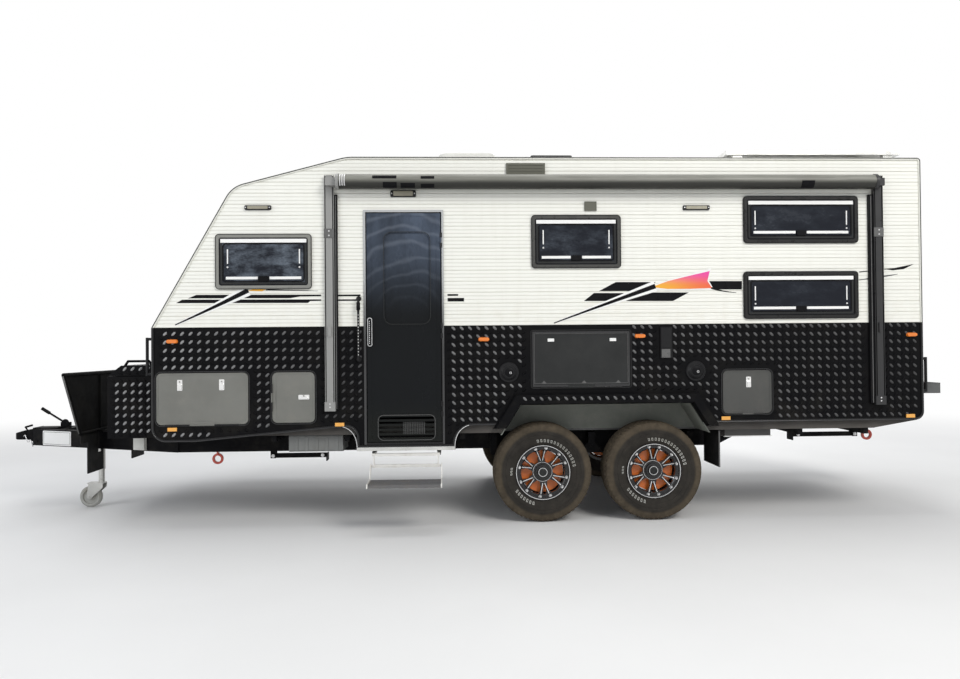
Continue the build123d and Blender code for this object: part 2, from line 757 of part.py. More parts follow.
# Its lid, a hollow cap with the bevel, hinged along the rear edge
lid_z = box_z1 - bevel_z
with BuildPart(base) as toolbox_lid:
    with BuildSketch(middle):
        with BuildLine():
            Polyline(
                (box_front_x, lid_z),
                (box_front_x + bevel_x, box_z1),
                (box_rear_x, box_z1),
                (box_rear_x, lid_z),
                close=True,
            )
        make_face()
    extrude(amount=box_half, both=True)
    with BuildSketch(middle):
        with BuildLine():
            Polyline(
                (box_front_x + 2 * box_skin, lid_z),
                (box_front_x + bevel_x + box_skin / 2, box_z1 - box_skin),
                (box_rear_x - box_skin, box_z1 - box_skin),
                (box_rear_x - box_skin, lid_z),
                close=True,
            )
        make_face()
    extrude(amount=box_half - box_skin, both=True, mode=Mode.SUBTRACT)
    for y in box_hinge_ys:
        block(box_rear_x - 25, lid_axis_x, y - 20, y + 20, box_z1, lid_axis_z + 2)
        bar((lid_axis_x, y - 20, lid_axis_z), (lid_axis_x, y + 20, lid_axis_z), 6)
    # Carrying rail along each end, bent down on to the lid
    for y in (-box_half + 30, box_half - 30):
        corners = (
            (box_front_x + bevel_x + 20, y, box_z1 - 3),
            (box_front_x + bevel_x + 44, y, box_z1 + 34),
            (lid_axis_x - 112, y, box_z1 + 34),
            (lid_axis_x - 90, y, box_z1 - 3),
        )
        for start, end in zip(corners[:-1], corners[1:]):
            bar(start, end, 10)
            with Locations(end if end != corners[-1] else corners[1]):
                Sphere(10)
keep(toolbox_lid, "toolbox_lid")

# Jockey stand: clamp and outer tube on the drawbar, fork and wheel below
jockey_axis = Plane(origin=(jockey_x, centre_y + jockey_y, 0))
fork_z = 212
clamp_half = 45
with BuildPart(jockey_axis) as jockey_tube:
    face_front, face_rear = (
        nose_half_spacing + a_slope * (jockey_x + way * clamp_half - a_frame_nose_x) - half_rail + jockey_y
        for way in (-1, 1)
    )
    for z in (590, 650):
        with BuildSketch(jockey_axis.offset(z)):
            with BuildLine():
                Polyline(
                    (-clamp_half, 10),
                    (clamp_half, 10),
                    (clamp_half, -face_rear),
                    (-clamp_half, -face_front),
                    close=True,
                )
            make_face()
        extrude(amount=16)
    with Locations((0, 0, 628)):
        Cylinder(38, 76)
    with Locations((0, 0, 560)):
        Cylinder(32, 440)
    with Locations((0, 0, 297)):
        Cylinder(26, 86)
    with Locations((0, 0, 266)):
        Cylinder(10.4, 24, mode=Mode.SUBTRACT)
    with Locations((0, 0, 790)):
        Cylinder(32, 24)
    bar((0, 0, 800), (0, 0, 830), 10)
    bar((0, 0, 825), (-95, 0, 825), 7)
    bar((-95, 0, 818), (-95, 0, 880), 10)
keep(jockey_tube, "jockey_tube")

with BuildPart(jockey_axis) as jockey_fork:
    with Locations((0, 0, fork_z + 19)):
        Cylinder(26, 38)
    with Locations((0, 0, fork_z + 42)):
        Cylinder(10, 44)
    block(-jockey_trail - 20, 26, -45, 45, fork_z, fork_z + 10)
    for side in (1, -1):
        with BuildSketch(Plane(jockey_axis.origin, x_dir=(1, 0, 0), z_dir=(0, -1, 0)).offset(side * 42 - 3)):
            with BuildLine():
                FilletPolyline(
                    (26, fork_z + 10),
                    (-jockey_trail - 6, fork_z + 10),
                    (-jockey_trail - 24, jockey_radius),
                    (-jockey_trail, jockey_radius - 24),
                    (26, fork_z - 34),
                    radius=(3, 12, 22, 22, 16),
                    close=True,
                )
            make_face()
        extrude(amount=6)
    bar((-jockey_trail, -52, jockey_radius), (-jockey_trail, 52, jockey_radius), 8)
keep(jockey_fork, "jockey_fork")

jockey_hub = Plane(
    origin=(jockey_x - jockey_trail, centre_y + jockey_y, jockey_radius), x_dir=(0, 1, 0), z_dir=(1, 0, 0)
)
with BuildPart() as jockey_wheel:
    with BuildSketch(jockey_hub):
        with BuildLine():
            Polyline(
                (-32, 8.5),
                (32, 8.5),
                (32, 26),
                (14, 30),
                (14, 62),
                (26, 66),
                (28, jockey_radius - 14),
                (16, jockey_radius),
                (-16, jockey_radius),
                (-28, jockey_radius - 14),
                (-26, 66),
                (-14, 62),
                (-14, 30),
                (-32, 26),
                close=True,
            )
        make_face()
    revolve(axis=Axis(jockey_hub.origin, jockey_hub.x_dir))
keep(jockey_wheel, "jockey_wheel")


def tyre_profile():
    """Half section of a tyre round the local x axis: x across the tread, y the radius."""
    half = tyre_width / 2
    with BuildLine() as outline:
        bead = Line((-97.5, bead_radius), (-108, rim_radius + 6))
        wall_arc = ThreePointArc(bead @ 1, (-half, 300), (-half + 10, 362))
        shoulder = Line(wall_arc @ 1, (-half + 34, tyre_radius - 6))
        crown = ThreePointArc(shoulder @ 1, (0, tyre_radius), (half - 34, tyre_radius - 6))
        shoulder_far = Line(crown @ 1, (half - 10, 362))
        far_arc = ThreePointArc(shoulder_far @ 1, (half, 300), (108, rim_radius + 6))
        Polyline(
            far_arc @ 1,
            (97.5, bead_radius),
            (80, bead_radius),
            (112, 262),
            (112, 330),
            (92, 376),
            (-92, 376),
            (-112, 330),
            (-112, 262),
            (-80, bead_radius),
            (-97.5, bead_radius),
        )
    make_face(outline.line)


def tyre(axis_plane):
    """A tyre revolved about the plane's x axis."""
    with BuildPart() as piece:
        with BuildSketch(axis_plane):
            tyre_profile()
        revolve(axis=Axis(axis_plane.origin, axis_plane.x_dir))
    return piece


spokes = 6
bolt_circle = 197
bolt_offset = 12.5
drum_radius = 172
# How far each wheel has rolled: the angle of its first window
window_angles = {"front": 35, "rear": 28.5}


def rim(axis_plane, outward, window_angle=35):
    """An alloy wheel with its hub and brake drum; outward is +1 if the face looks along the plane's x axis."""
    face = Plane(origin=axis_plane.origin, x_dir=axis_plane.y_dir, z_dir=axis_plane.x_dir * outward)
    with BuildPart() as piece:
        # Barrel and dished centre
        with BuildSketch(axis_plane):
            s = outward
            with BuildLine():
                Polyline(
                    (s * 112, 204),
                    (s * 118, rim_radius),
                    (s * 106, rim_radius),
                    (s * 98, 202.7),
                    (s * 40, 202.7),
                    (s * 20, 186),
                    (-s * 60, 186),
                    (-s * 84, 202.7),
                    (-s * 98, 202.7),
                    (-s * 106, rim_radius),
                    (-s * 114, rim_radius),
                    (-s * 112, 196),
                    (-s * 70, 178),
                    (s * 20, 178),
                    (s * 50, 194),
                    close=True,
                )
            make_face()
            with BuildLine():
                Polyline(
                    (s * 46, 30),
                    (s * 74, 30),
                    (s * 74, 84),
                    (s * 92, 172),
                    (s * 104, 184),
                    (s * 107, 188),
                    (s * 107, 206),
                    (s * 101, 206),
                    (s * 98.5, 202.3),
                    (s * 86, 202.3),
                    (s * 64, 172),
                    (s * 46, 84),
                    close=True,
                )
            make_face()
        revolve(axis=Axis(axis_plane.origin, axis_plane.x_dir))
        # A window between the spokes and a slot up the middle of each
        with BuildSketch(face.offset(40)):
            with BuildLine() as window:
                FilletPolyline(
                    (82, -12),
                    (124, -42),
                    (174, -44),
                    (181, 0),
                    (174, 44),
                    (124, 42),
                    (82, 12),
                    radius=(8, 16, 14, 60, 14, 16, 8),
                    close=True,
                )
            opening = make_face(window.line, mode=Mode.PRIVATE)
            with BuildLine() as gap_line:
                FilletPolyline(
                    (104, -5),
                    (176, -19),
                    (180, 0),
                    (176, 19),
                    (104, 5),
                    radius=(4, 6, 30, 6, 4),
                    close=True,
                )
            slot = make_face(gap_line.line, mode=Mode.PRIVATE)
            with PolarLocations(0, spokes, start_angle=window_angle):
                add(opening)
            with PolarLocations(0, spokes, start_angle=window_angle + 180 / spokes):
                add(slot)
        extrude(amount=80, mode=Mode.SUBTRACT)
        # Drum behind, hub in front and the bolts round the lip
        with BuildSketch(face.offset(-70)):
            Circle(drum_radius)
        extrude(amount=100)
        with BuildSketch(face.offset(30)):
            Circle(64)
        extrude(amount=60, taper=6)
        with BuildSketch(face.offset(90)):
            Circle(44)
        extrude(amount=12, taper=14)
        with BuildSketch(face.offset(102)):
            for way in (1, -1):
                start = window_angle + 180 / spokes + way * bolt_offset
                with PolarLocations(bolt_circle, spokes, start_angle=start):
                    RegularPolygon(8, 6)
        extrude(amount=13)
        with BuildSketch(face.offset(-71)):
            Circle(bore_radius)
        extrude(amount=90, mode=Mode.SUBTRACT)
    return piece


for end, x in wheel_xs.items():
    for name, side in (("near", 1), ("far", -1)):
        hub = Plane(
            origin=(x, centre_y - side * wheel_y, wheel_z),
            x_dir=(0, -side, 0),
            z_dir=(1, 0, 0),
        )
        keep(tyre(hub), f"{end}_{name}_tyre")
        keep(rim(hub, 1, window_angles[end]), f"{end}_{name}_rim")

spare_hub = Plane(origin=(spare_x, centre_y, spare_z + datum_z), x_dir=(1, 0, 0), z_dir=(0, 1, 0))
keep(tyre(spare_hub), "spare_tyre")
keep(rim(spare_hub, 1), "spare_rim")

# Axle beams with their stub ends and the brakes' backing plates
stub_radius = bore_radius - 0.5
with BuildPart(base) as axles:
    for x in wheel_xs.values():
        block(x - beam, x + beam, -wheel_y + 100, wheel_y - 100, hub_z - beam, hub_z + beam)
        bar((x, -wheel_y + 8, hub_z), (x, wheel_y - 8, hub_z), stub_radius)
        for side in (1, -1):
            y = side * (wheel_y - 86)
            bar((x, y - side * 10, hub_z), (x, y, hub_z), 130)
            bar((x, y - side * 34, hub_z), (x, y - side * 10, hub_z), 48)
keep(axles, "axles")


def leaf_band(x, radius, half):
    """One leaf of a spring over the axle at x, its lower face of this radius, in a side view."""
    centre_z = spring_low_z + spring_radius
    angle = half / spring_radius

    def point(r, a):
        return (x + r * sin(a), centre_z - r * cos(a))

    with BuildLine() as outline:
        lower = ThreePointArc(point(radius, -angle), point(radius, 0), point(radius, angle))
        top = radius - leaf
        Line(lower @ 1, point(top, angle))
        ThreePointArc(point(top, angle), point(top, 0), point(top, -angle))
        Line(point(top, -angle), lower @ 0)
    make_face(outline.line)


# Leaf springs over the axles with their clips, top plates and U-bolts; between the two of a side a rocker
# carries one eye of each, and shackles hold the last eye
bolt_x, bolt_y, bolt_radius = beam + 8, spring_width / 2 + 8, 7
plate_z = spring_low_z + leaf - 1
with BuildPart(base) as leaf_springs:
    for x in wheel_xs.values():
        with BuildSketch(middle.offset(spring_y - spring_width / 2)):
            leaf_band(x, spring_radius, eye_angle * spring_radius)
            for level, half in enumerate(leaf_halves, start=1):
                leaf_band(x, spring_radius + leaf * level, half)
            with Locations((x - spring_half, eye_z), (x + spring_half, eye_z)):
                Circle(eye_bore + leaf)
                Circle(eye_bore, mode=Mode.SUBTRACT)
        extrude(amount=spring_width)
        y = -spring_y
        block(x - 45, x + 45, y - 32, y + 32, hub_z + beam, spring_low_z - 3 * leaf + 1)
        block(x - 52, x + 52, y - bolt_y - 12, y + bolt_y + 12, plate_z, plate_z + 12)
        for way in (1, -1):
            clip_x = x + way * 190
            block(clip_x - 12, clip_x + 12, y - 34, y + 34, spring_low_z - 10, spring_low_z + 24)
            leg_y = y + way * bolt_y
            foot_z = hub_z - beam - bolt_radius
            bar((x - bolt_x, leg_y, foot_z), (x + bolt_x, leg_y, foot_z), bolt_radius)
            for leg_x in (x - bolt_x, x + bolt_x):
                bar((leg_x, leg_y, foot_z), (leg_x, leg_y, plate_z + 34), bolt_radius)
                with Locations((leg_x, leg_y, foot_z)):
                    Sphere(bolt_radius)
                with BuildSketch(base.offset(plate_z + 12)):
                    with Locations((leg_x, leg_y)):
                        RegularPolygon(12, 6)
                extrude(amount=11)
    # Rocker: two plates on a boss, with the eyes' bolts
    for inset in (-37, 31):
        with BuildSketch(middle.offset(spring_y + inset)):
            with BuildLine():
                FilletPolyline(
                    (axle_mid_x - rocker_x - 26, eye_z - 18),
                    (axle_mid_x + rocker_x + 26, eye_z - 18),
                    (axle_mid_x + 34, rocker_z + 26),
                    (axle_mid_x - 34, rocker_z + 26),
                    radius=(17, 17, 24, 24),
                    close=True,
                )
            make_face()
        extrude(amount=6)
        with BuildSketch(middle.offset(spring_y + inset)):
            link_x, link_z = shackle_x - 14, eye_z
            with Locations(((shackle_x + link_x) / 2, (shackle_z + link_z) / 2)):
                reach = hypot(shackle_x - link_x, shackle_z - link_z)
                lean = degrees(atan2(shackle_z - link_z, shackle_x - link_x))
                SlotCenterToCenter(reach, 34, rotation=lean)
        extrude(amount=6)
    bar((axle_mid_x, -spring_y - 31, rocker_z), (axle_mid_x, -spring_y + 31, rocker_z), 20)
    with Locations((axle_mid_x, -spring_y, rocker_z)):
        Cylinder(eye_bore, 80, rotation=(90, 0, 0), mode=Mode.SUBTRACT)
    for x, z in (
        (axle_mid_x - rocker_x, eye_z),
        (axle_mid_x + rocker_x, eye_z),
        (shackle_x - 14, eye_z),
        (shackle_x, shackle_z),
    ):
        bar((x, -spring_y - 37, z), (x, -spring_y + 37, z), pin_radius)
        hex_heads(x, z, spring_y, 37)
    mirror(about=middle)
keep(leaf_springs, "leaf_springs")

# Water tanks ahead of the axles, with moulded ribs, and the flanged trays behind them
with BuildPart(base) as water_tanks:
    block(-1450, -1020, -1120, -790, 560, floor_z)
    fillet(water_tanks.edges().filter_by(Axis.X), 20)
    for x in range(-1390, -1060, 80):
        block(x - 12, x + 12, -1124, -790, 566, floor_z - 20)
    block(2088, 2470, -1120, -800, 636, floor_z)
    block(2080, 2478, -1128, -792, 636, 642)
    mirror(about=middle)
keep(water_tanks, "water_tanks")

# Towing rings under the rails
with BuildPart(base) as tow_rings:
    for x in (-2130, 3500):
        z = rail_bottom_z if x < 0 else 650
        block(x - 6, x + 6, -rail_y - 20, -rail_y + 20, z - 30, z)
        with Locations((x, -rail_y, z - 60)):
            Cylinder(46, 18, rotation=(90, 0, 0))
            Cylinder(27, 18, rotation=(90, 0, 0), mode=Mode.SUBTRACT)
    mirror(about=middle)
keep(tow_rings, "tow_rings")

# Corner steadies, folded up along the rails
def steady(x, way, z, length, side):
    """A drop leg that lies along the rail, its pad at the free end."""
    y = -side * rail_y
    with BuildPart(base) as piece:
        x0, x1 = sorted((x - way * 20, x + way * length))
        block(x0, x1, y - 20, y + 20, z - 18, z + 18)
        end = x + way * length
        x0, x1 = sorted((x + way * 24, end - way * 30))
        block(x0, x1, y - 16, y + 16, z - 18, z + 14, Mode.SUBTRACT)
        x0, x1 = sorted((end, end + way * 8))
        block(x0, x1, y - 55, y + 55, z - 45, z + 18)
        bar((x, y - 30, z), (x, y + 30, z), 8)
    return piece


for end, x, way, z, length in steady_rows:
    for name, side in (("near", 1), ("far", -1)):
        keep(steady(x, way, z, length, side), f"{end}_{name}_steady")

# Folding step: sliding upper frame and hinged lower tread
with BuildPart(base) as step_frame:
    for side in (1, -1):
        x = step_x + side * step_half
        block(x - 10, x + 10, -step_y, -step_y + 230, step_top_z - 10, step_top_z + 10)
        x0, x1 = sorted((x, x - side * 10))
        block(x0, x1, -step_y - 4, -step_y + 16, step_low_z, step_top_z)
    block(step_x - step_half, step_x + step_half, -step_y - 4, -step_y + 20, step_top_z - 10, step_top_z + 10)
    block(step_x - step_half, step_x + step_half, -step_y + 20, -step_y + 75, step_top_z - 4, step_top_z + 4)
    bar((step_x - step_half - 17, -step_y + 6, step_low_z), (step_x + step_half + 17, -step_y + 6, step_low_z), 9)
    block(step_x - step_half, step_x + step_half, -step_y - 2, -step_y + 14, step_low_z - 12, step_low_z + 12)
keep(step_frame, "step_frame")

with BuildPart(base) as step_tread:
    for side in (1, -1):
        x = step_x + side * (step_half + 22)
        with BuildSketch(across.offset(x - 4)):
            with BuildLine():
                Polyline(
                    (-step_y + 22, step_low_z + 16),
                    (-step_y - 8, step_low_z + 16),
                    (-step_y - 70, tread_z + 12),
                    (-step_y - 290, tread_z + 6),
                    (-step_y - 296, tread_z - 26),
                    (-step_y - 50, tread_z - 26),
                    (-step_y + 22, step_low_z - 16),
                    close=True,
                )
            make_face()
            with Locations((-step_y + 6, step_low_z)):
                Circle(9.5, mode=Mode.SUBTRACT)
        extrude(amount=8)
    block(step_x - step_half - 19, step_x + step_half + 19, -step_y - 292, -step_y - 56, tread_z - 24, tread_z)
    for row in range(8):
        y = -step_y - 80 - 26 * row
        block(step_x - step_half - 10, step_x + step_half + 10, y - 12, y, tread_z, tread_z + 2.5)
keep(step_tread, "step_tread")

# Awning: roller with rolled fabric and the strip that runs up to its rail on the wall
with BuildPart(base) as awning_roller:
    y = -half_width - awning_out
    bar((awning_x0, y, awning_z), (awning_x1 - 40, y, awning_z), awning_radius)
    with BuildSketch(across.offset(awning_x0)):
        with BuildLine():
            top, wall_y = awning_z + awning_radius, -half_width - 12
            Polyline((y, top - 3), (y, top), (wall_y, top + 8), (wall_y, top + 5), close=True)
        make_face()
    extrude(amount=awning_x1 - 40 - awning_x0)
keep(awning_roller, "awning_roller")

# Its rail, and two folded arms: a channel on the wall with the rafter inside, end caps and bent head brackets
arm_foot_z, arm_head_z = 905, 2752
with BuildPart(base) as awning_arms:
    for x, end_x in ((-1100, awning_x0), (3328, awning_x1 - 40)):
        with BuildSketch(base.offset(arm_foot_z)):
            with Locations((x, -half_width - 17)):
                Rectangle(76, 34)
            with Locations((x - 30, -half_width - 21), (x + 30, -half_width - 21)):
                Rectangle(8, 26, mode=Mode.SUBTRACT)
        extrude(amount=arm_head_z - arm_foot_z)
        block(x - 42, x + 42, -half_width - 38, -half_width, arm_foot_z - 12, arm_foot_z + 60)
        block(x - 12, x + 12, -half_width - 46, -half_width - 30, 1480, 1560)
        way = 1 if end_x > x else -1
        x0, x1 = sorted((x - way * 20, end_x - way * 24))
        block(x0, x1, -half_width - awning_out - 14, -half_width, awning_z - 30, awning_z + 30)
        cap_y = -half_width - awning_out
        bar((end_x - way * 24, cap_y, awning_z), (end_x, cap_y, awning_z), awning_radius + 4)
    rail_z = awning_z + awning_radius
    block(awning_x0, awning_x1 - 40, -half_width - 12, -half_width, rail_z - 2, rail_z + 12)
keep(awning_arms, "awning_arms")

# Roof equipment
with BuildPart(base) as air_conditioner:
    with BuildSketch(base.offset(roof_z)):
        with Locations((60, 0)):
            RectangleRounded(1000, 700, 90)
    with BuildSketch(base.offset(roof_z + 200)):
        with Locations((70, 0)):
            RectangleRounded(900, 660, 120)
    loft()
    with BuildSketch(base.offset(roof_z + 200)):
        with Locations((20, 0)):
            RectangleRounded(560, 600, 120)
    extrude(amount=80, taper=14)
    fillet(air_conditioner.edges().group_by(Axis.Z)[-1], 20)
    for x in range(-300, 460, 30):
        block(x - 8, x + 8, -360, 360, roof_z + 60, roof_z + 130, Mode.SUBTRACT)
    block(-340, 490, -300, 300, roof_z + 50, roof_z + 140)
keep(air_conditioner, "air_conditioner")

with BuildPart(base) as solar_panel:
    x0, x1, y0, y1, top = 2190, 3690, -970, -300, roof_z + 125
    block(x0, x1, y0, y1, top - 36, top)
    block(x0 + 12, x1 - 12, y0 + 12, y1 - 12, top - 4, top, Mode.SUBTRACT)
    for x in (x0 + 60, x1 - 140):
        for y in (y0 + 20, y1 - 60):
            block(x, x + 80, y, y + 40, roof_z, top - 36)
keep(solar_panel, "solar_panel")

hatch_x, hatch_y, hatch_half = 725, -650, 185
hatch_axis_x, hatch_axis_z = hatch_x + hatch_half + 17, roof_z + 62
with BuildPart(base) as hatch_frame:
    with BuildSketch(base.offset(roof_z)):
        with Locations((hatch_x, hatch_y)):
            RectangleRounded(2 * hatch_half, 2 * hatch_half, 30)
            RectangleRounded(2 * hatch_half - 40, 2 * hatch_half - 40, 20, mode=Mode.SUBTRACT)
    extrude(amount=60)
    for y in (hatch_y - 120, hatch_y + 60):
        block(hatch_axis_x - 18, hatch_axis_x, y, y + 60, hatch_axis_z - 18, hatch_axis_z - 8)
        block(hatch_axis_x - 5, hatch_axis_x, y, y + 60, hatch_axis_z - 18, hatch_axis_z)
        bar((hatch_axis_x, y, hatch_axis_z), (hatch_axis_x, y + 60, hatch_axis_z), 5)
keep(hatch_frame, "hatch_frame")

with BuildPart(base) as hatch_lid:
    with BuildSketch(base.offset(roof_z + 65)):
        with Locations((hatch_x, hatch_y)):
            RectangleRounded(2 * hatch_half + 20, 2 * hatch_half + 20, 40)
    extrude(amount=50, taper=20)
    block(hatch_axis_x - 30, hatch_axis_x, hatch_y - 58, hatch_y + 58, roof_z + 65, roof_z + 69)
    bar((hatch_axis_x, hatch_y - 58, hatch_axis_z), (hatch_axis_x, hatch_y + 58, hatch_axis_z), 5)
keep(hatch_lid, "hatch_lid")

# Lamps: amber side markers and reflectors, and the tail lamps
marker_rows = ((-2331, 1452), (114, 1449), (1371, 1465), (3608, 1459))
reflector_rows = ((-2331, 763, 0), (-1030, 786, 8), (2060, 798, 8), (3584, 798, 8))
with BuildPart(base) as lamps:
    for x, z in marker_rows:
        with BuildSketch(middle.offset(half_width)):
            with Locations((x, z)):
                SlotOverall(90, 34)
        extrude(amount=16, taper=14)
    for x, z, out in reflector_rows:
        block(x - 36, x + 36, -half_width - out - 7, -half_width - out, z - 14, z + 14)
    for z0, z1 in ((860, 1010), (1040, 1190)):
        block(rear_x, rear_x + 26, -1150, -1050, z0, z1)
    mirror(about=middle)
keep(lamps, "lamps")

# Wall fittings: round speaker covers, sockets, grab handles and the kitchen's vent
with BuildPart(base) as wall_fittings:
    for x, z in ((311, 1184), (1820, 1180)):
        with BuildSketch(middle.offset(half_width)):
            with Locations((x, z)):
                Circle(82)
        extrude(amount=10, taper=20)
        with BuildSketch(middle.offset(half_width + 10)):
            with Locations((x, z)):
                Circle(66)
        extrude(amount=14, taper=50)
    block(1534, 1630, -half_width - 14, -half_width, 1286, 1536)
    for x, z0, z1, out in ((front_x, 1183, 1484, -1), (rear_x, 989, 1274, 1)):
        for side in (1, -1):
            y = side * (half_width - 40)
            bar((x + out * 48, y, z0), (x + out * 48, y, z1), 12)
            for z in (z0 + 12, z1 - 12):
                bar((x, y, z), (x + out * 48, y, z), 11)
    block(304, 615, -half_width - 16, -half_width, 2762, 2854)
    for z in (2785, 2808, 2831):
        block(320, 599, -half_width - 20, -half_width - 12, z - 5, z + 5, Mode.SUBTRACT)
    # Outdoor lamps, a square vent, and the hand rail beside the door
    for x0, x1, z0, z1 in ((-1765, -1555, 2481, 2521), (-620, -415, 2583, 2639), (1730, 1950, 2477, 2518)):
        with BuildSketch(middle.offset(half_width)):
            panel(x0, x1, z0, z1, 12)
        extrude(amount=18, taper=12)
    block(931, 1028, -half_width - 12, -half_width, 2473, 2547)
    rail_x, rail_out = -874, half_width + 46
    bar((rail_x, -rail_out, 1292), (rail_x, -rail_out, 1786), 10)
    for z in (1300, 1778):
        bar((rail_x, -half_width, z), (rail_x, -rail_out, z), 9)
        bar((rail_x, -half_width, z), (rail_x, -half_width - 8, z), 20)
keep(wall_fittings, "wall_fittings")

# Rear bar with the spare wheel's bracket, on two posts from the chassis
with BuildPart(base) as rear_bar:
    block(bar_x0 + 20, bar_x1, -1150, 1150, bar_z0, bar_z1)
    for side in (1, -1):
        y = side * 420
        block(rail_rear_x, bar_x0 + 80, y - 30, y + 30, 650, floor_z)
        block(bar_x0 + 20, bar_x0 + 80, y - 30, y + 30, 650, bar_z0)
    bar((bar_x1, 0, spare_z), (spare_x + 15, 0, spare_z), stub_radius)
    bar((bar_x1, 0, spare_z), (spare_x - 71, 0, spare_z), 60)
keep(rear_bar, "rear_bar")
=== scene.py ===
import bmesh
import bpy
from math import cos, hypot, pi, radians, sin, sqrt
from mathutils import Matrix, Vector


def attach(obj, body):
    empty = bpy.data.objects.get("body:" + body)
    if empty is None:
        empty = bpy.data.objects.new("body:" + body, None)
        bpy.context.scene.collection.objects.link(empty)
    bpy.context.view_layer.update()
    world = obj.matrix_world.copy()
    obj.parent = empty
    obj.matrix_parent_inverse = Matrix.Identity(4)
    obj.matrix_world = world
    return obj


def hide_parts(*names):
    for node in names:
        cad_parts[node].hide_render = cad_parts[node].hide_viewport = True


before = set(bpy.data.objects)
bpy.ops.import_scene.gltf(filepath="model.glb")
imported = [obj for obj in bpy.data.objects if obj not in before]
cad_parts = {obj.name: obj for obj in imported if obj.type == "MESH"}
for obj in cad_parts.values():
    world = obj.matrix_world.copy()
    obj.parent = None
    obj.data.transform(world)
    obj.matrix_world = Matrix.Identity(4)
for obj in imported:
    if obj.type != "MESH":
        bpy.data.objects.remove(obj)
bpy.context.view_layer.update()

# The van's own measures, in metres. Heights on its body are told from a datum above the ground.
DATUM = 0.03
CY = 0.14
HALF = 1.22
BELT = 1.56
FRONT, REAR = -2.49, 3.70
WHEEL_X = (0.5875, 1.4925)
WHEEL_Y = 1.035
WHEEL_Z = 0.40
SPARE = Vector((4.031, CY, 1.05))
RIB_PITCH = 0.0293333


def add_object(name, data):
    thing = bpy.data.objects.new(name, data)
    bpy.context.scene.collection.objects.link(thing)
    return thing


# Camera: the photograph's place and angle
LENS_MM, SENSOR_MM, SEEN_TO = 28.5, 36, 200
CAMERA_AT = (-0.17, CY - HALF - 6.05, 1.412)
YAW, TILT, ROLL = (radians(degrees) for degrees in (-2.4, 90.62, -0.5))


def place_camera():
    data = bpy.data.cameras.new("camera")
    data.lens = LENS_MM
    data.sensor_width = SENSOR_MM
    data.clip_end = SEEN_TO
    camera = add_object("camera", data)
    turn = Matrix.Rotation(YAW, 4, "Z") @ Matrix.Rotation(TILT, 4, "X")
    camera.matrix_world = Matrix.Translation(CAMERA_AT) @ turn @ Matrix.Rotation(ROLL, 4, "Z")
    bpy.context.scene.camera = camera


place_camera()


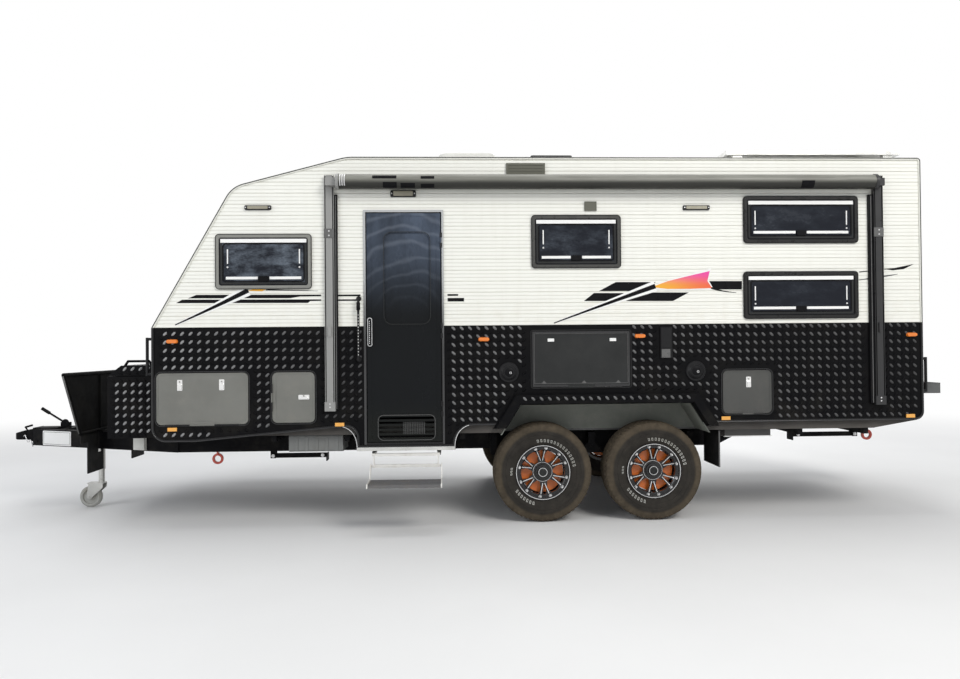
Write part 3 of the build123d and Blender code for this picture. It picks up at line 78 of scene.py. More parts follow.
class Nodes:
    """A material's node tree, built by short calls."""

    def __init__(self, name, color=(0.5, 0.5, 0.5), rough=0.5, metal=0.0, **sockets):
        self.material = bpy.data.materials.new(name)
        self.material.use_nodes = True
        self.tree = self.material.node_tree
        self.shader = self.tree.nodes["Principled BSDF"]
        self.shader.inputs["Base Color"].default_value = (*color, 1)
        self.shader.inputs["Roughness"].default_value = rough
        self.shader.inputs["Metallic"].default_value = metal
        for socket, value in sockets.items():
            self.shader.inputs[socket.replace("_", " ")].default_value = value
        self.coords = self.tree.nodes.new("ShaderNodeTexCoord").outputs["Object"]
        parts = self.tree.nodes.new("ShaderNodeSeparateXYZ")
        self.tree.links.new(self.coords, parts.inputs[0])
        self.x, self.y, self.z = parts.outputs
        self.up = self.math("SUBTRACT", self.z, DATUM)

    def math(self, kind, a, b=0.0):
        node = self.tree.nodes.new("ShaderNodeMath")
        node.operation = kind
        for i, value in enumerate((a, b)):
            if isinstance(value, (int, float)):
                node.inputs[i].default_value = value
            else:
                self.tree.links.new(value, node.inputs[i])
        return node.outputs[0]

    def noise(self, scale, detail=3.0, rough=0.5, stretch=None):
        node = self.tree.nodes.new("ShaderNodeTexNoise")
        node.inputs["Scale"].default_value = scale
        node.inputs["Detail"].default_value = detail
        node.inputs["Roughness"].default_value = rough
        source = self.coords
        if stretch:
            mapping = self.tree.nodes.new("ShaderNodeMapping")
            mapping.inputs["Scale"].default_value = stretch
            self.tree.links.new(source, mapping.inputs[0])
            source = mapping.outputs[0]
        self.tree.links.new(source, node.inputs["Vector"])
        return node.outputs["Fac"]

    def range(self, value, low, high, new_low=0.0, new_high=1.0, smooth=True):
        node = self.tree.nodes.new("ShaderNodeMapRange")
        node.interpolation_type = "SMOOTHSTEP" if smooth else "LINEAR"
        self.tree.links.new(value, node.inputs["Value"])
        numbers = (low, high, new_low, new_high)
        for socket, number in zip(("From Min", "From Max", "To Min", "To Max"), numbers):
            node.inputs[socket].default_value = number
        return node.outputs[0]

    def step(self, value, edge):
        """0 below the edge, 1 above it."""
        return self.range(value, edge - 0.0005, edge + 0.0005, smooth=False)

    def times(self, a, b):
        return self.math("MULTIPLY", a, b)

    def minus(self, a, b):
        return self.math("SUBTRACT", a, b)

    def apart(self, a, b):
        """The distance between two values."""
        return self.math("ABSOLUTE", self.minus(a, b))

    def reach(self, a, b):
        """The length of the vector (a, b)."""
        return self.math("SQRT", self.math("ADD", self.math("POWER", a, 2.0), self.math("POWER", b, 2.0)))

    def cycle(self, value, pitch=1.0):
        """0 at the middle of each pitch and 0.5 at its ends."""
        return self.apart(self.math("FRACT", self.math("DIVIDE", value, pitch)), 0.5)

    def between(self, value, low, high):
        return self.times(self.step(value, low), self.minus(1.0, self.step(value, high)))

    def mix(self, factor, a, b):
        node = self.tree.nodes.new("ShaderNodeMix")
        node.data_type = "RGBA"
        self.tree.links.new(factor, node.inputs["Factor"])
        for socket, value in ((6, a), (7, b)):
            if isinstance(value, tuple):
                node.inputs[socket].default_value = (*value, 1)
            else:
                self.tree.links.new(value, node.inputs[socket])
        return node.outputs[2]

    def color(self, value):
        self.tree.links.new(value, self.shader.inputs["Base Color"])

    def rough(self, value):
        self.tree.links.new(value, self.shader.inputs["Roughness"])

    def bump(self, height, distance=0.001, strength=1.0):
        node = self.tree.nodes.new("ShaderNodeBump")
        node.inputs["Distance"].default_value = distance
        node.inputs["Strength"].default_value = strength
        self.tree.links.new(height, node.inputs["Height"])
        before = self.shader.inputs["Normal"].links
        if before:
            self.tree.links.new(before[0].from_socket, node.inputs["Normal"])
        self.tree.links.new(node.outputs[0], self.shader.inputs["Normal"])


def finish(m, base, rough, wear=None, grain=300.0, height=0.00015):
    """Worn patches over a base colour, uneven gloss and a fine grain."""
    if wear:
        wear_color, amount = wear
        patches = m.times(m.range(m.noise(7.0, 6.0, 0.7), 0.45, 0.75), amount)
        base = m.mix(patches, base, wear_color)
    m.color(base)
    m.rough(m.range(m.noise(9.0, 4.0, 0.6), 0.3, 0.7, max(0.02, rough - 0.08), min(1.0, rough + 0.1)))
    m.bump(m.noise(grain, 2.0), height)
    return m.material


def plain(name, color, rough=0.5, metal=0.0, wear=None, speck=0.15, grain=300.0, height=0.00015, **sockets):
    """A painted, moulded or bare surface: uneven tone and gloss, fine grain and, if given, worn patches."""
    m = Nodes(name, color, rough, metal, **sockets)
    lighter = tuple(min(1.0, c * (1 + speck)) for c in color)
    darker = tuple(c * (1 - speck) for c in color)
    base = m.mix(m.range(m.noise(2.3, 5.0, 0.6), 0.3, 0.7), darker, lighter)
    return finish(m, base, rough, wear, grain, height)


BOARD_WHITE = (0.86, 0.86, 0.80)
PAINT_BLACK = (0.0055, 0.0055, 0.0062)
DUST = (0.10, 0.09, 0.07)
GROOVE_DEPTH = 0.0016


def ribs(m):
    """How near a point is to a groove between two ribs of the boards, 0 to 1."""
    return m.range(m.cycle(m.minus(m.up, BELT), RIB_PITCH), 0.30, 0.5)


def board_color(m, rib):
    """White boards with streaks, dirt that gathers above the belt line, and grooves darkened as painted
    shade.
    """
    streak = m.range(m.noise(3.0, 5.0, 0.6, (4.0, 4.0, 0.25)), 0.42, 0.75)
    low = m.range(m.up, 1.9, BELT, 0.0, 0.3)
    base = m.mix(m.times(streak, 0.12), BOARD_WHITE, (0.66, 0.64, 0.55))
    base = m.mix(m.times(m.range(m.noise(11.0, 5.0, 0.7), 0.4, 0.7), low), base, (0.74, 0.70, 0.60))
    # Painted shade: the colour darkens towards each groove
    return m.mix(m.times(rib, 0.55), base, (0.55, 0.54, 0.47))


def white_wall():
    """White ribbed aluminium boards."""
    m = Nodes("white_boards", BOARD_WHITE, 0.36)
    rib = ribs(m)
    m.color(board_color(m, rib))
    m.rough(m.range(m.noise(6.0, 4.0), 0.3, 0.7, 0.28, 0.46))
    m.bump(m.minus(1.0, rib), GROOVE_DEPTH)
    m.bump(m.noise(1.6, 2.0), 0.003, 0.5)
    return m.material


def black_plate():
    """Black painted tread plate, duller towards its foot."""
    m = Nodes("tread_plate", PAINT_BLACK, 0.34, Specular_IOR_Level=0.05)
    foot = m.range(m.up, 1.3, 0.6, 0.03, 0.10)
    dust = m.times(m.range(m.noise(5.0, 6.0, 0.65), 0.42, 0.72), foot)
    m.color(m.mix(dust, PAINT_BLACK, DUST))
    m.rough(m.range(m.noise(8.0, 5.0, 0.6), 0.3, 0.7, 0.28, 0.46))
    m.bump(m.noise(220.0, 2.0), 0.0002)
    return m.material


def painted_glint_bars():
    """Bars of the tread plate lightened as a painted highlight that stands in for sun glints, brightest
    towards the nose.
    """
    m = Nodes("painted_glint_bars", (0.12, 0.12, 0.12), 0.36, Specular_IOR_Level=0.25)
    # Painted highlight: strongest at the nose, fading towards the rear
    ahead = m.range(m.x, -2.45, -1.05, 1.0, 0.16, False)
    behind = m.range(m.x, 0.4, 3.6, 0.50, 0.20, False)
    amount = m.math("MAXIMUM", ahead, m.times(behind, m.step(m.x, -0.4)))
    patch = m.range(m.noise(3.0, 4.0), 0.3, 0.7, 0.75, 1.1)
    m.color(m.mix(m.times(amount, patch), (0.012, 0.012, 0.013), (0.34, 0.34, 0.34)))
    m.bump(m.noise(260.0, 2.0), 0.0002)
    return m.material


def glass():
    """Dark acrylic: deep gloss, and wiped dust smears carrying a painted pale blue-grey sky reflection,
    strongest on the front panes.
    """
    tint = (0.010, 0.012, 0.018)
    m = Nodes("dark_acrylic", tint, 0.08, Specular_IOR_Level=0.15)
    smear = m.range(m.noise(4.0, 7.0, 0.72, (1.0, 1.0, 2.0)), 0.40, 0.74)
    amount = m.math("ADD", m.range(m.x, -1.2, 0.4, 0.45, 0.0, False), m.range(m.x, 1.4, 2.2, 0.30, 0.10))
    high = m.range(m.noise(1.5, 2.0), 0.3, 0.7, 0.5, 1.0)
    # Painted reflection: pale blue-grey sky mixed in through the smears, more on the panes ahead
    m.color(m.mix(m.times(m.times(smear, amount), high), tint, (0.22, 0.26, 0.31)))
    m.rough(m.range(smear, 0.0, 1.0, 0.06, 0.35))
    m.bump(m.noise(2.2, 2.0), 0.003, 0.4)
    return m.material


def awning_cloth():
    """Grey-green vinyl, rolled, with long creases along the roll; painted shade on its underside and in the
    creases, painted highlight on their ridges.
    """
    m = Nodes("awning_vinyl", (0.13, 0.13, 0.11), 0.45, Specular_IOR_Level=0.4)
    crease = m.noise(6.0, 4.0, 0.6, (0.35, 4.0, 4.0))
    # Painted shade and highlight: the tone darkens in the creases and lightens on their ridges
    cloth = m.mix(m.range(crease, 0.3, 0.75), (0.15, 0.15, 0.128), (0.24, 0.24, 0.21))
    # Painted shade: the underside of the roll darkened
    painted_shade_below = m.range(m.up, 2.705, 2.665)
    m.color(m.mix(painted_shade_below, cloth, (0.022, 0.022, 0.018)))
    m.bump(crease, 0.004, 0.6)
    m.bump(m.noise(900.0, 2.0), 0.0002)
    return m.material


def door_film():
    """Glossy sheet, black below, with a painted blue-grey sky reflection rising towards the top and wiped
    dust arcs high up, painted bright as highlights.
    """
    black = (0.006, 0.007, 0.008)
    m = Nodes("door_sheet", black, 0.12, Specular_IOR_Level=0.12)
    reach = m.reach(m.minus(m.x, -0.50), m.minus(m.up, 1.55))
    warp = m.math("ADD", m.times(reach, 9.0), m.times(m.noise(1.8, 3.0, 0.5), 3.0))
    arcs = m.times(m.range(m.cycle(warp), 0.22, 0.0), m.range(m.up, 1.65, 2.3))
    sweep = m.range(m.noise(2.2, 6.0, 0.65, (1.6, 1.0, 0.8)), 0.25, 0.70, 0.35, 1.0)
    # Painted reflection: blue-grey sky mixed in, rising towards the top
    painted_sky_reflection = m.times(sweep, m.range(m.up, 1.60, 2.50))
    base = m.mix(painted_sky_reflection, black, (0.085, 0.108, 0.150))
    # Painted highlight: pale arcs where dust was wiped
    base = m.mix(m.times(arcs, 0.13), base, (0.36, 0.40, 0.47))
    m.color(m.mix(m.range(m.up, 1.0, 0.7, 0.0, 0.5), base, (0.013, 0.014, 0.011)))
    m.rough(m.range(sweep, 0.35, 1.0, 0.10, 0.32))
    m.bump(m.noise(3.0, 3.0), 0.003, 0.4)
    return m.material


def frames_paint():
    """Black frames round the lockers and door; round the windows, a painted grey reflection ahead that fades
    to black behind.
    """
    m = Nodes("frames", PAINT_BLACK, 0.3, Specular_IOR_Level=0.3)
    # Painted reflection: window frames lightened to grey ahead, fading out behind
    grey = m.mix(m.range(m.x, -1.2, 0.6), (0.24, 0.24, 0.22), (0.060, 0.060, 0.056))
    grey = m.mix(m.range(m.x, 1.4, 2.2), grey, (0.012, 0.012, 0.012))
    off_door = m.minus(1.0, m.between(m.x, -0.86, -0.18))
    base = m.mix(m.times(m.step(m.up, 1.585), off_door), PAINT_BLACK, grey)
    return finish(m, base, 0.3)


def lamp_lens():
    """Amber markers, paler reflectors low on the sides and red lamps behind."""
    m = Nodes("lamp_lens", (0.80, 0.22, 0.015), 0.16, Coat_Weight=0.4)
    base = m.mix(m.step(m.up, 0.9), (0.84, 0.40, 0.07), (0.78, 0.20, 0.02))
    base = m.mix(m.step(m.x, REAR + 0.002), base, (0.45, 0.012, 0.012))
    m.color(base)
    m.bump(m.noise(120.0, 2.0), 0.0004)
    return m.material


def fittings_paint():
    """Olive grey vents high on the wall, black speakers, sockets and handles lower down."""
    m = Nodes("fittings", (0.02, 0.02, 0.02), 0.36, Specular_IOR_Level=0.2)
    vent = m.times(m.between(m.up, 2.46, 2.56), m.between(m.x, 0.90, 1.05))
    pale = m.math("MAXIMUM", m.step(m.up, 2.7), vent)
    return finish(m, m.mix(pale, (0.009, 0.009, 0.010), (0.125, 0.125, 0.100)), 0.36)


def moulding_paint():
    """Black mouldings low down, and cream ones above the belt line."""
    m = Nodes("mouldings", PAINT_BLACK, 0.3, Specular_IOR_Level=0.3)
    return finish(m, m.mix(m.step(m.up, BELT), PAINT_BLACK, (0.70, 0.70, 0.64)), 0.34)


def tank_paint():
    """Grey tanks ahead of the wheels; behind them a zinc tray painted dark as shade, with a painted highlight
    along its lip.
    """
    m = Nodes("tanks", (0.2, 0.2, 0.2), 0.45)
    # Painted shade on the tray and a painted highlight on its lip
    lip = m.mix(m.between(m.up, 0.6355, 0.6425), (0.055, 0.055, 0.052), (0.80, 0.80, 0.78))
    return finish(m, m.mix(m.step(m.x, 2.0), (0.16, 0.165, 0.16), lip), 0.45, (DUST, 0.3))


ARMS_X = (-1.10, 3.328)


def arms_paint():
    """Anodised arms with black in their grooves; a painted reflection makes the one ahead pale and the one
    behind dark.
    """
    m = Nodes("arms", (0.4, 0.4, 0.4), 0.34, Specular_IOR_Level=0.4)
    off = m.math("MINIMUM", *(m.apart(m.x, x) for x in ARMS_X))
    groove = m.times(m.between(off, 0.0259, 0.0341), m.step(m.y, CY - HALF - 0.0335))
    # Painted reflection: the arm ahead pale, the arm behind dark
    face = m.mix(m.step(m.x, 1.0), (0.28, 0.28, 0.27), (0.024, 0.024, 0.025))
    return finish(m, m.mix(groove, face, (0.01, 0.01, 0.01)), 0.34)


def tread_paint():
    """Grey ribbed step tread between white end brackets."""
    m = Nodes("step_tread", (0.12, 0.12, 0.12), 0.5)
    off = m.apart(m.x, -0.508)
    base = m.mix(m.step(off, 0.2735), (0.115, 0.115, 0.118), (0.74, 0.73, 0.69))
    return finish(m, base, 0.5, ((0.20, 0.17, 0.12), 0.3), 200.0, 0.0004)


def rim_paint(name, spare):
    """Black gloss alloy with an orange drum behind it, told by the distance from the hub."""
    black = (0.010, 0.010, 0.011)
    m = Nodes(name, black, 0.16, Specular_IOR_Level=0.35, Coat_Weight=0.15)
    if spare:
        across, up = m.minus(m.y, SPARE.y), m.minus(m.z, SPARE.z)
        depth = m.minus(m.x, SPARE.x)
    else:
        middle = sum(WHEEL_X) / 2
        off = m.apart(m.x, middle)
        across, up = m.minus(off, WHEEL_X[1] - middle), m.minus(m.z, WHEEL_Z)
        depth = m.minus(m.apart(m.y, CY), WHEEL_Y)
    r = m.reach(across, up)
    near_hub = m.range(r, 0.1725, 0.1720, smooth=False)
    drum = m.times(near_hub, m.range(depth, 0.0305, 0.0300, smooth=False))
    dirt = m.range(m.noise(14.0, 5.0, 0.7), 0.45, 0.75, 0.0, 0.15)
    m.color(m.mix(drum, m.mix(dirt, black, (0.07, 0.06, 0.05)), (0.84, 0.20, 0.035)))
    m.rough(m.range(dirt, 0.0, 0.15, 0.16, 0.45))
    return m.material


def tyre_rubber():
    """Dusty brown tread and a blacker sidewall; the tyre's own axis is x."""
    m = Nodes("tyre_rubber", (0.05, 0.045, 0.035), 0.85, Specular_IOR_Level=0.2)
    r = m.reach(m.y, m.z)
    dust = m.range(m.noise(9.0, 6.0, 0.7), 0.30, 0.72, 0.35, 1.0)
    tread_color = m.mix(dust, (0.030, 0.025, 0.019), (0.092, 0.073, 0.050))
    wall = m.mix(dust, (0.012, 0.011, 0.010), (0.036, 0.032, 0.027))
    m.color(m.mix(m.range(r, 0.325, 0.352), wall, tread_color))
    m.bump(m.noise(260.0, 3.0), 0.0004)
    return m.material


def solar_cells():
    """Dark blue cells with pale lines between them."""
    m = Nodes("solar_cells", (0.012, 0.018, 0.05), 0.12, Coat_Weight=0.7)
    cell, bus = 0.158, 0.0527
    lines = [m.range(m.cycle(axis, cell), 0.485, 0.49) for axis in (m.x, m.y)]
    fine = m.range(m.cycle(m.y, bus), 0.47, 0.48)
    blue = m.mix(m.range(m.noise(7.0, 3.0), 0.3, 0.7), (0.010, 0.015, 0.045), (0.018, 0.028, 0.075))
    blue = m.mix(m.times(fine, 0.5), blue, (0.4, 0.42, 0.45))
    m.color(m.mix(m.math("MAXIMUM", *lines), blue, (0.55, 0.56, 0.58)))
    return m.material


def two_tone():
    """White boards above the belt line, black plate below it."""
    m = Nodes("rear_panel", BOARD_WHITE, 0.34, Specular_IOR_Level=0.3)
    above = m.step(m.up, BELT)
    rib = m.times(ribs(m), above)
    black = m.mix(m.range(m.noise(5.0, 6.0, 0.65), 0.42, 0.72, 0.0, 0.10), PAINT_BLACK, DUST)
    m.color(m.mix(above, black, board_color(m, rib)))
    m.bump(m.minus(1.0, rib), GROOVE_DEPTH)
    return m.material


def wedge_film():
    """Orange to magenta film for the wedge."""
    m = Nodes("sunset_film", (0.8, 0.3, 0.1), 0.3)
    warm = m.mix(m.range(m.x, 1.48, 1.98), (0.85, 0.42, 0.03), (0.80, 0.13, 0.05))
    m.color(m.mix(m.times(m.range(m.up, 1.86, 1.98), 0.9), warm, (0.78, 0.05, 0.38)))
    m.bump(m.noise(60.0, 2.0), 0.0001)
    return m.material


def edge_trim():
    """Anodised strip with a painted pale reflection high up that fades to black low down."""
    m = Nodes("door_edge", (0.4, 0.4, 0.4), 0.35)
    # Painted reflection: pale high up, fading to black low down
    m.color(m.mix(m.range(m.up, 1.35, 2.15), (0.035, 0.035, 0.036), (0.44, 0.45, 0.45)))
    m.bump(m.noise(200.0, 2.0), 0.0002)
    return m.material


BLACK = plain("black_satin", (0.006, 0.006, 0.007), 0.34, wear=(DUST, 0.06), Specular_IOR_Level=0.08)
GLOSS = plain("black_gloss", (0.010, 0.010, 0.011), 0.18, height=0.00005, Specular_IOR_Level=0.6)
BLACK_DULL = plain("black_dull", (0.005, 0.005, 0.005), 0.6, wear=(DUST, 0.05), Specular_IOR_Level=0.04)
CHASSIS = plain(
    "chassis_paint", (0.006, 0.006, 0.007), 0.5, wear=(DUST, 0.15), speck=0.3, Specular_IOR_Level=0.06
)
WHITE = white_wall()
PLATE = black_plate()
GLINT = painted_glint_bars()
GLASS = glass()
GREY = plain("grey_locker", (0.155, 0.156, 0.140), 0.42, wear=((0.22, 0.21, 0.18), 0.3), speck=0.10)
GREY_REAR = plain(
    "grey_rear_locker", (0.055, 0.056, 0.052), 0.42, wear=((0.09, 0.085, 0.075), 0.3), speck=0.10
)
GREY_PLASTIC = plain("grey_plastic", (0.085, 0.088, 0.088), 0.5, wear=((0.15, 0.14, 0.12), 0.3))
DARK_GREY = plain(
    "dark_grey", (0.026, 0.027, 0.027), 0.36, wear=((0.045, 0.045, 0.043), 0.25), Specular_IOR_Level=0.15
)
EDGE_GREY = plain("edge_grey", (0.10, 0.10, 0.098), 0.32, speck=0.1)
CHROME = plain("chrome", (0.80, 0.80, 0.79), 0.16, 1.0, speck=0.06, grain=80.0, height=0.00005)
STEEL = plain("zinc_steel", (0.52, 0.52, 0.50), 0.38, 0.9, wear=((0.30, 0.27, 0.22), 0.4))
ALUMINIUM = plain("aluminium", (0.60, 0.60, 0.58), 0.34, 0.9, wear=((0.35, 0.34, 0.31), 0.3))
RUBBER = plain("rubber", (0.010, 0.010, 0.010), 0.75, wear=(DUST, 0.12), Specular_IOR_Level=0.15)
WHITE_PLASTIC = plain("white_plastic", (0.66, 0.66, 0.62), 0.4, wear=((0.45, 0.43, 0.37), 0.35), speck=0.06)
WHITE_STEEL = plain("white_paint", (0.76, 0.75, 0.71), 0.36, wear=((0.40, 0.34, 0.26), 0.3), speck=0.06)
PALE_RUBBER = plain("pale_rubber", (0.42, 0.42, 0.39), 0.7, wear=((0.30, 0.27, 0.20), 0.5))
RED = plain("red_paint", (0.62, 0.09, 0.06), 0.35, wear=((0.50, 0.22, 0.17), 0.3))
WELL = plain("wheel_well", (0.19, 0.20, 0.175), 0.6, wear=((0.27, 0.27, 0.23), 0.5))
BOARD = plain("floor_board", (0.05, 0.045, 0.04), 0.7, speck=0.25)
DECAL = plain("black_film", (0.008, 0.008, 0.009), 0.3, speck=0.05, height=0.00005, Specular_IOR_Level=0.06)
PAPER = plain("white_film", (0.86, 0.86, 0.84), 0.35, speck=0.03)
SILVER = plain("silver_paint", (0.66, 0.66, 0.66), 0.28, 0.6, speck=0.08, height=0.00005)
LAMP = plain("lamp_lens_clear", (0.32, 0.30, 0.23), 0.22, grain=200.0)
AWNING, DOOR, TYRE, CELLS = awning_cloth(), door_film(), tyre_rubber(), solar_cells()
RIM, RIM_SPARE = rim_paint("wheel_paint", False), rim_paint("spare_paint", True)
FRAMES, LENS, FITTINGS, TANKS = frames_paint(), lamp_lens(), fittings_paint(), tank_paint()

# Material of each node of the frame
PAINT = (
    (WHITE, "near_wall_upper far_wall_upper front_wall_upper"),
    (PLATE, "near_wall_lower far_wall_lower front_wall_lower wheel_spats toolbox toolbox_lid"),
    (CHASSIS, "chassis_rails drawbar coupling axles leaf_springs rear_bar"),
    (CHASSIS, "front_near_steady front_far_steady rear_near_steady rear_far_steady"),
    (RIM, "front_near_rim front_far_rim rear_near_rim rear_far_rim"),
    (TYRE, "spare_tyre front_near_tyre front_far_tyre rear_near_tyre rear_far_tyre"),
    (WHITE_PLASTIC, "roof_panel air_conditioner hatch_frame"),
    (GREY, "near_tunnel_door far_tunnel_door small_locker_door"), (GREY_REAR, "rear_locker_door"),
    (DARK_GREY, "picnic_table hatch_lid"), (BLACK_DULL, "stone_guard"), (RUBBER, "mud_flaps"),
    (STEEL, "jockey_tube jockey_fork"), (PALE_RUBBER, "jockey_wheel"), (WHITE_STEEL, "step_frame"),
    (DOOR, "door_pane entry_door"), (GLASS, "window_panes"), (FRAMES, "opening_frames"), (LENS, "lamps"),
    (FITTINGS, "wall_fittings"), (AWNING, "awning_roller"), (ALUMINIUM, "solar_panel"), (RED, "tow_rings"),
    (TANKS, "water_tanks"), (WELL, "wheel_wells"), (BOARD, "floor_panel"), (RIM_SPARE, "spare_rim"),
    (two_tone(), "rear_wall"), (moulding_paint(), "edge_mouldings"), (tread_paint(), "step_tread"),
    (arms_paint(), "awning_arms"),
)
for material, nodes in PAINT:
    for node in nodes.split():
        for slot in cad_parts[node].material_slots:
            slot.material = material


def face_out(mesh):
    """Turns the normals outwards."""
    work = bmesh.new()
    work.from_mesh(mesh)
    bmesh.ops.recalc_face_normals(work, faces=work.faces)
    work.to_mesh(mesh)
    work.free()


class Shape:
    """Vertices and faces gathered from many small forms into one piece."""

    def __init__(self):
        self.verts, self.faces, self.slots, self.soft = [], [], [], []

    def add(self, verts, faces, slot=0, smooth=False):
        base = len(self.verts)
        self.verts += [tuple(v) for v in verts]
        for face in faces:
            self.faces.append([base + i for i in face])
            self.slots.append(slot)
            self.soft.append(smooth)

    def make(self, name, *materials, body="van"):
        mesh = bpy.data.meshes.new(name)
        mesh.from_pydata(self.verts, [], self.faces)
        for material in materials:
            mesh.materials.append(material)
        mesh.polygons.foreach_set("material_index", self.slots)
        mesh.polygons.foreach_set("use_smooth", self.soft)
        face_out(mesh)
        piece = add_object(name, mesh)
        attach(piece, body)


def on_side(side, half=HALF):
    """Maps (along, up, out) on a side wall to the van's frame; side is -1 near, 1 far."""
    return lambda u, w, d: (u, CY + side * (half + d), w + DATUM)


def on_end(x, way):
    """Maps (across, up, out) on a plane across the van; way is -1 facing the front, 1 facing the rear."""
    return lambda u, w, d: (x + way * d, CY + u, w + DATUM)


def on_top(z):
    """Maps (along, across, up) on a level plane."""
    return lambda u, w, d: (u, CY + w, z + d + DATUM)


RAIL_SLOPE = 0.4297


def on_drawbar(u, w, d):
    """Maps (along, up, out) on the outer face of the near drawbar rail."""
    reach = hypot(1, RAIL_SLOPE)
    face = 0.0892 + RAIL_SLOPE * (u + 4.0)
    return (u - RAIL_SLOPE / reach * d, CY - face - d / reach, w + DATUM)


def rounded(x0, x1, z0, z1, r, n=5):
    """A rounded rectangle's outline, anticlockwise."""
    points = []
    corners = ((x1 - r, z0 + r), (x1 - r, z1 - r), (x0 + r, z1 - r), (x0 + r, z0 + r))
    for start, (cx, cz) in zip((-90, 0, 90, 180), corners):
        for k in range(n + 1):
            a = radians(start + 90 * k / n)
            points.append((cx + r * cos(a), cz + r * sin(a)))
    return points


def polar(r, angle):
    return r * cos(radians(angle)), r * sin(radians(angle))


def ellipse(cx, cz, rx, rz, n=24, turn=0.0):
    return [(cx + rx * cos(2 * pi * k / n + turn), cz + rz * sin(2 * pi * k / n + turn)) for k in range(n)]


def circle(cx, cz, r, n=24, turn=0.0):
    return ellipse(cx, cz, r, r, n, turn)


def rect(x0, x1, z0, z1):
    return [(x0, z0), (x1, z0), (x1, z1), (x0, z1)]


def grown(box, m):
    """A box (x0, x1, z0, z1) with each side moved out by m."""
    x0, x1, z0, z1 = box
    return x0 - m, x1 + m, z0 - m, z1 + m


def strips(n, pairs):
    """Faces between pairs of rows of n vertices each."""
    faces = []
    for a, b in pairs:
        faces += [(a * n + k, a * n + (k + 1) % n, b * n + (k + 1) % n, b * n + k) for k in range(n)]
    return faces


def lids(n, rows):
    """The faces that close the first and the last row."""
    return [list(range(n))[::-1], [(rows - 1) * n + k for k in range(n)]]


def hoop(centre, u, v, radius, sides):
    """Vertices of a circle in the plane of u and v."""
    angles = [2 * pi * k / sides for k in range(sides)]
    return [centre + radius * (cos(a) * u + sin(a) * v) for a in angles]


def slab(shape, place, outline, low, high, slot=0, inset=0.0):
    """A flat form with that outline; its top edge can be drawn in for a bevelled look."""
    n = len(outline)
    cx = sum(p[0] for p in outline) / n
    cz = sum(p[1] for p in outline) / n
    top = outline
    if inset:
        top = []
        for x, z in outline:
            share = inset / max(1e-6, hypot(cx - x, cz - z))
            top.append((x + (cx - x) * share, z + (cz - z) * share))
    verts = [place(x, z, low) for x, z in outline] + [place(x, z, high) for x, z in top]
    shape.add(verts, lids(n, 2) + strips(n, [(0, 1)]), slot)


def ring(shape, place, outer, inner, low, high, slot=0):
    """A flat band between two outlines of equal length."""
    verts = []
    for outline, d in ((outer, low), (outer, high), (inner, high), (inner, low)):
        verts += [place(x, z, d) for x, z in outline]
    shape.add(verts, strips(len(outer), [(k, (k + 1) % 4) for k in range(4)]), slot)


def round_band(shape, place, x, z, r, width, low, high, slot=0, n=24):
    """A ring of even width inside a circle."""
    ring(shape, place, circle(x, z, r, n), circle(x, z, r - width, n), low, high, slot)


def band(shape, place, x0, x1, z0, z1, r, width, low, high, slot=0):
    """A ring of even width inside a rounded rectangle."""
    inner_r = max(0.001, r - width)
    inner = rounded(x0 + width, x1 - width, z0 + width, z1 - width, inner_r)
    ring(shape, place, rounded(x0, x1, z0, z1, r), inner, low, high, slot)


def tube(shape, path, radius, slot=0, sides=12):
    """A round tube along points."""
    points = [Vector(p) for p in path]
    verts = []
    for i, point in enumerate(points):
        before, after = points[max(0, i - 1)], points[min(len(points) - 1, i + 1)]
        direction = (after - before).normalized()
        axis = Vector((0, 0, 1)) if abs(direction.z) < 0.9 else Vector((1, 0, 0))
        u = direction.cross(axis).normalized()
        verts += hoop(point, u, direction.cross(u).normalized(), radius, sides)
    rows = len(points)
    faces = strips(sides, [(i, i + 1) for i in range(rows - 1)]) + lids(sides, rows)
    shape.add(verts, faces, slot, True)


def turned(shape, centre, axis, profile, slot=0, sides=24, smooth=True):
    """A form turned about an axis: profile rows are (distance along the axis, radius)."""
    axis = Vector(axis).normalized()
    u = axis.orthogonal().normalized()
    verts = []
    for along, radius in profile:
        verts += hoop(Vector(centre) + axis * along, u, axis.cross(u), radius, sides)
    rows = len(profile)
    faces = strips(sides, [(i, i + 1) for i in range(rows - 1)]) + lids(sides, rows)
    shape.add(verts, faces, slot, smooth)


def bolt(shape, place, u, w, d, size=0.010, slot=0):
    """A hexagon head with a washer."""
    slab(shape, place, circle(u, w, size * 1.35, 16), d - 0.001, d + size * 0.18, slot)
    slab(shape, place, circle(u, w, size, 6), d, d + size * 0.8, slot, size * 0.12)


def inside(polygon, x, z):
    """Whether a point is inside a polygon."""
    hit = False
    for (x0, z0), (x1, z1) in zip(polygon, polygon[1:] + polygon[:1]):
        if (z0 > z) != (z1 > z) and x < (x1 - x0) * (z - z0) / (z1 - z0) + x0:
            hit = not hit
    return hit


# Tread plate: bars in two crossed directions, bright ones on a square pitch that carry a painted highlight
# and dark ones between them
PITCH = 0.066
BAR_REACH = (-0.018, 0, 0.018)
# One bar's vertices: along, across, up
BAR = (
    (-0.0235, 0, 0), (-0.0115, 0.0108, 0), (0.0115, 0.0108, 0), (0.0235, 0, 0), (0.0115, -0.0108, 0),
    (-0.0115, -0.0108, 0), (-0.0120, 0, 0.0042), (0.0120, 0, 0.0042),
)
BAR_FACES = [(0, 1, 6), (1, 2, 7, 6), (2, 3, 7), (3, 4, 7), (4, 5, 6, 7), (5, 0, 6), (5, 4, 3, 2, 1, 0)]


def lozenge(shape, place, u, w, angle, slot=0):
    c, s = cos(angle), sin(angle)
    verts = [place(u + a * c - b * s, w + a * s + b * c, h - 0.0004) for a, b, h in BAR]
    shape.add(verts, BAR_FACES, slot, True)


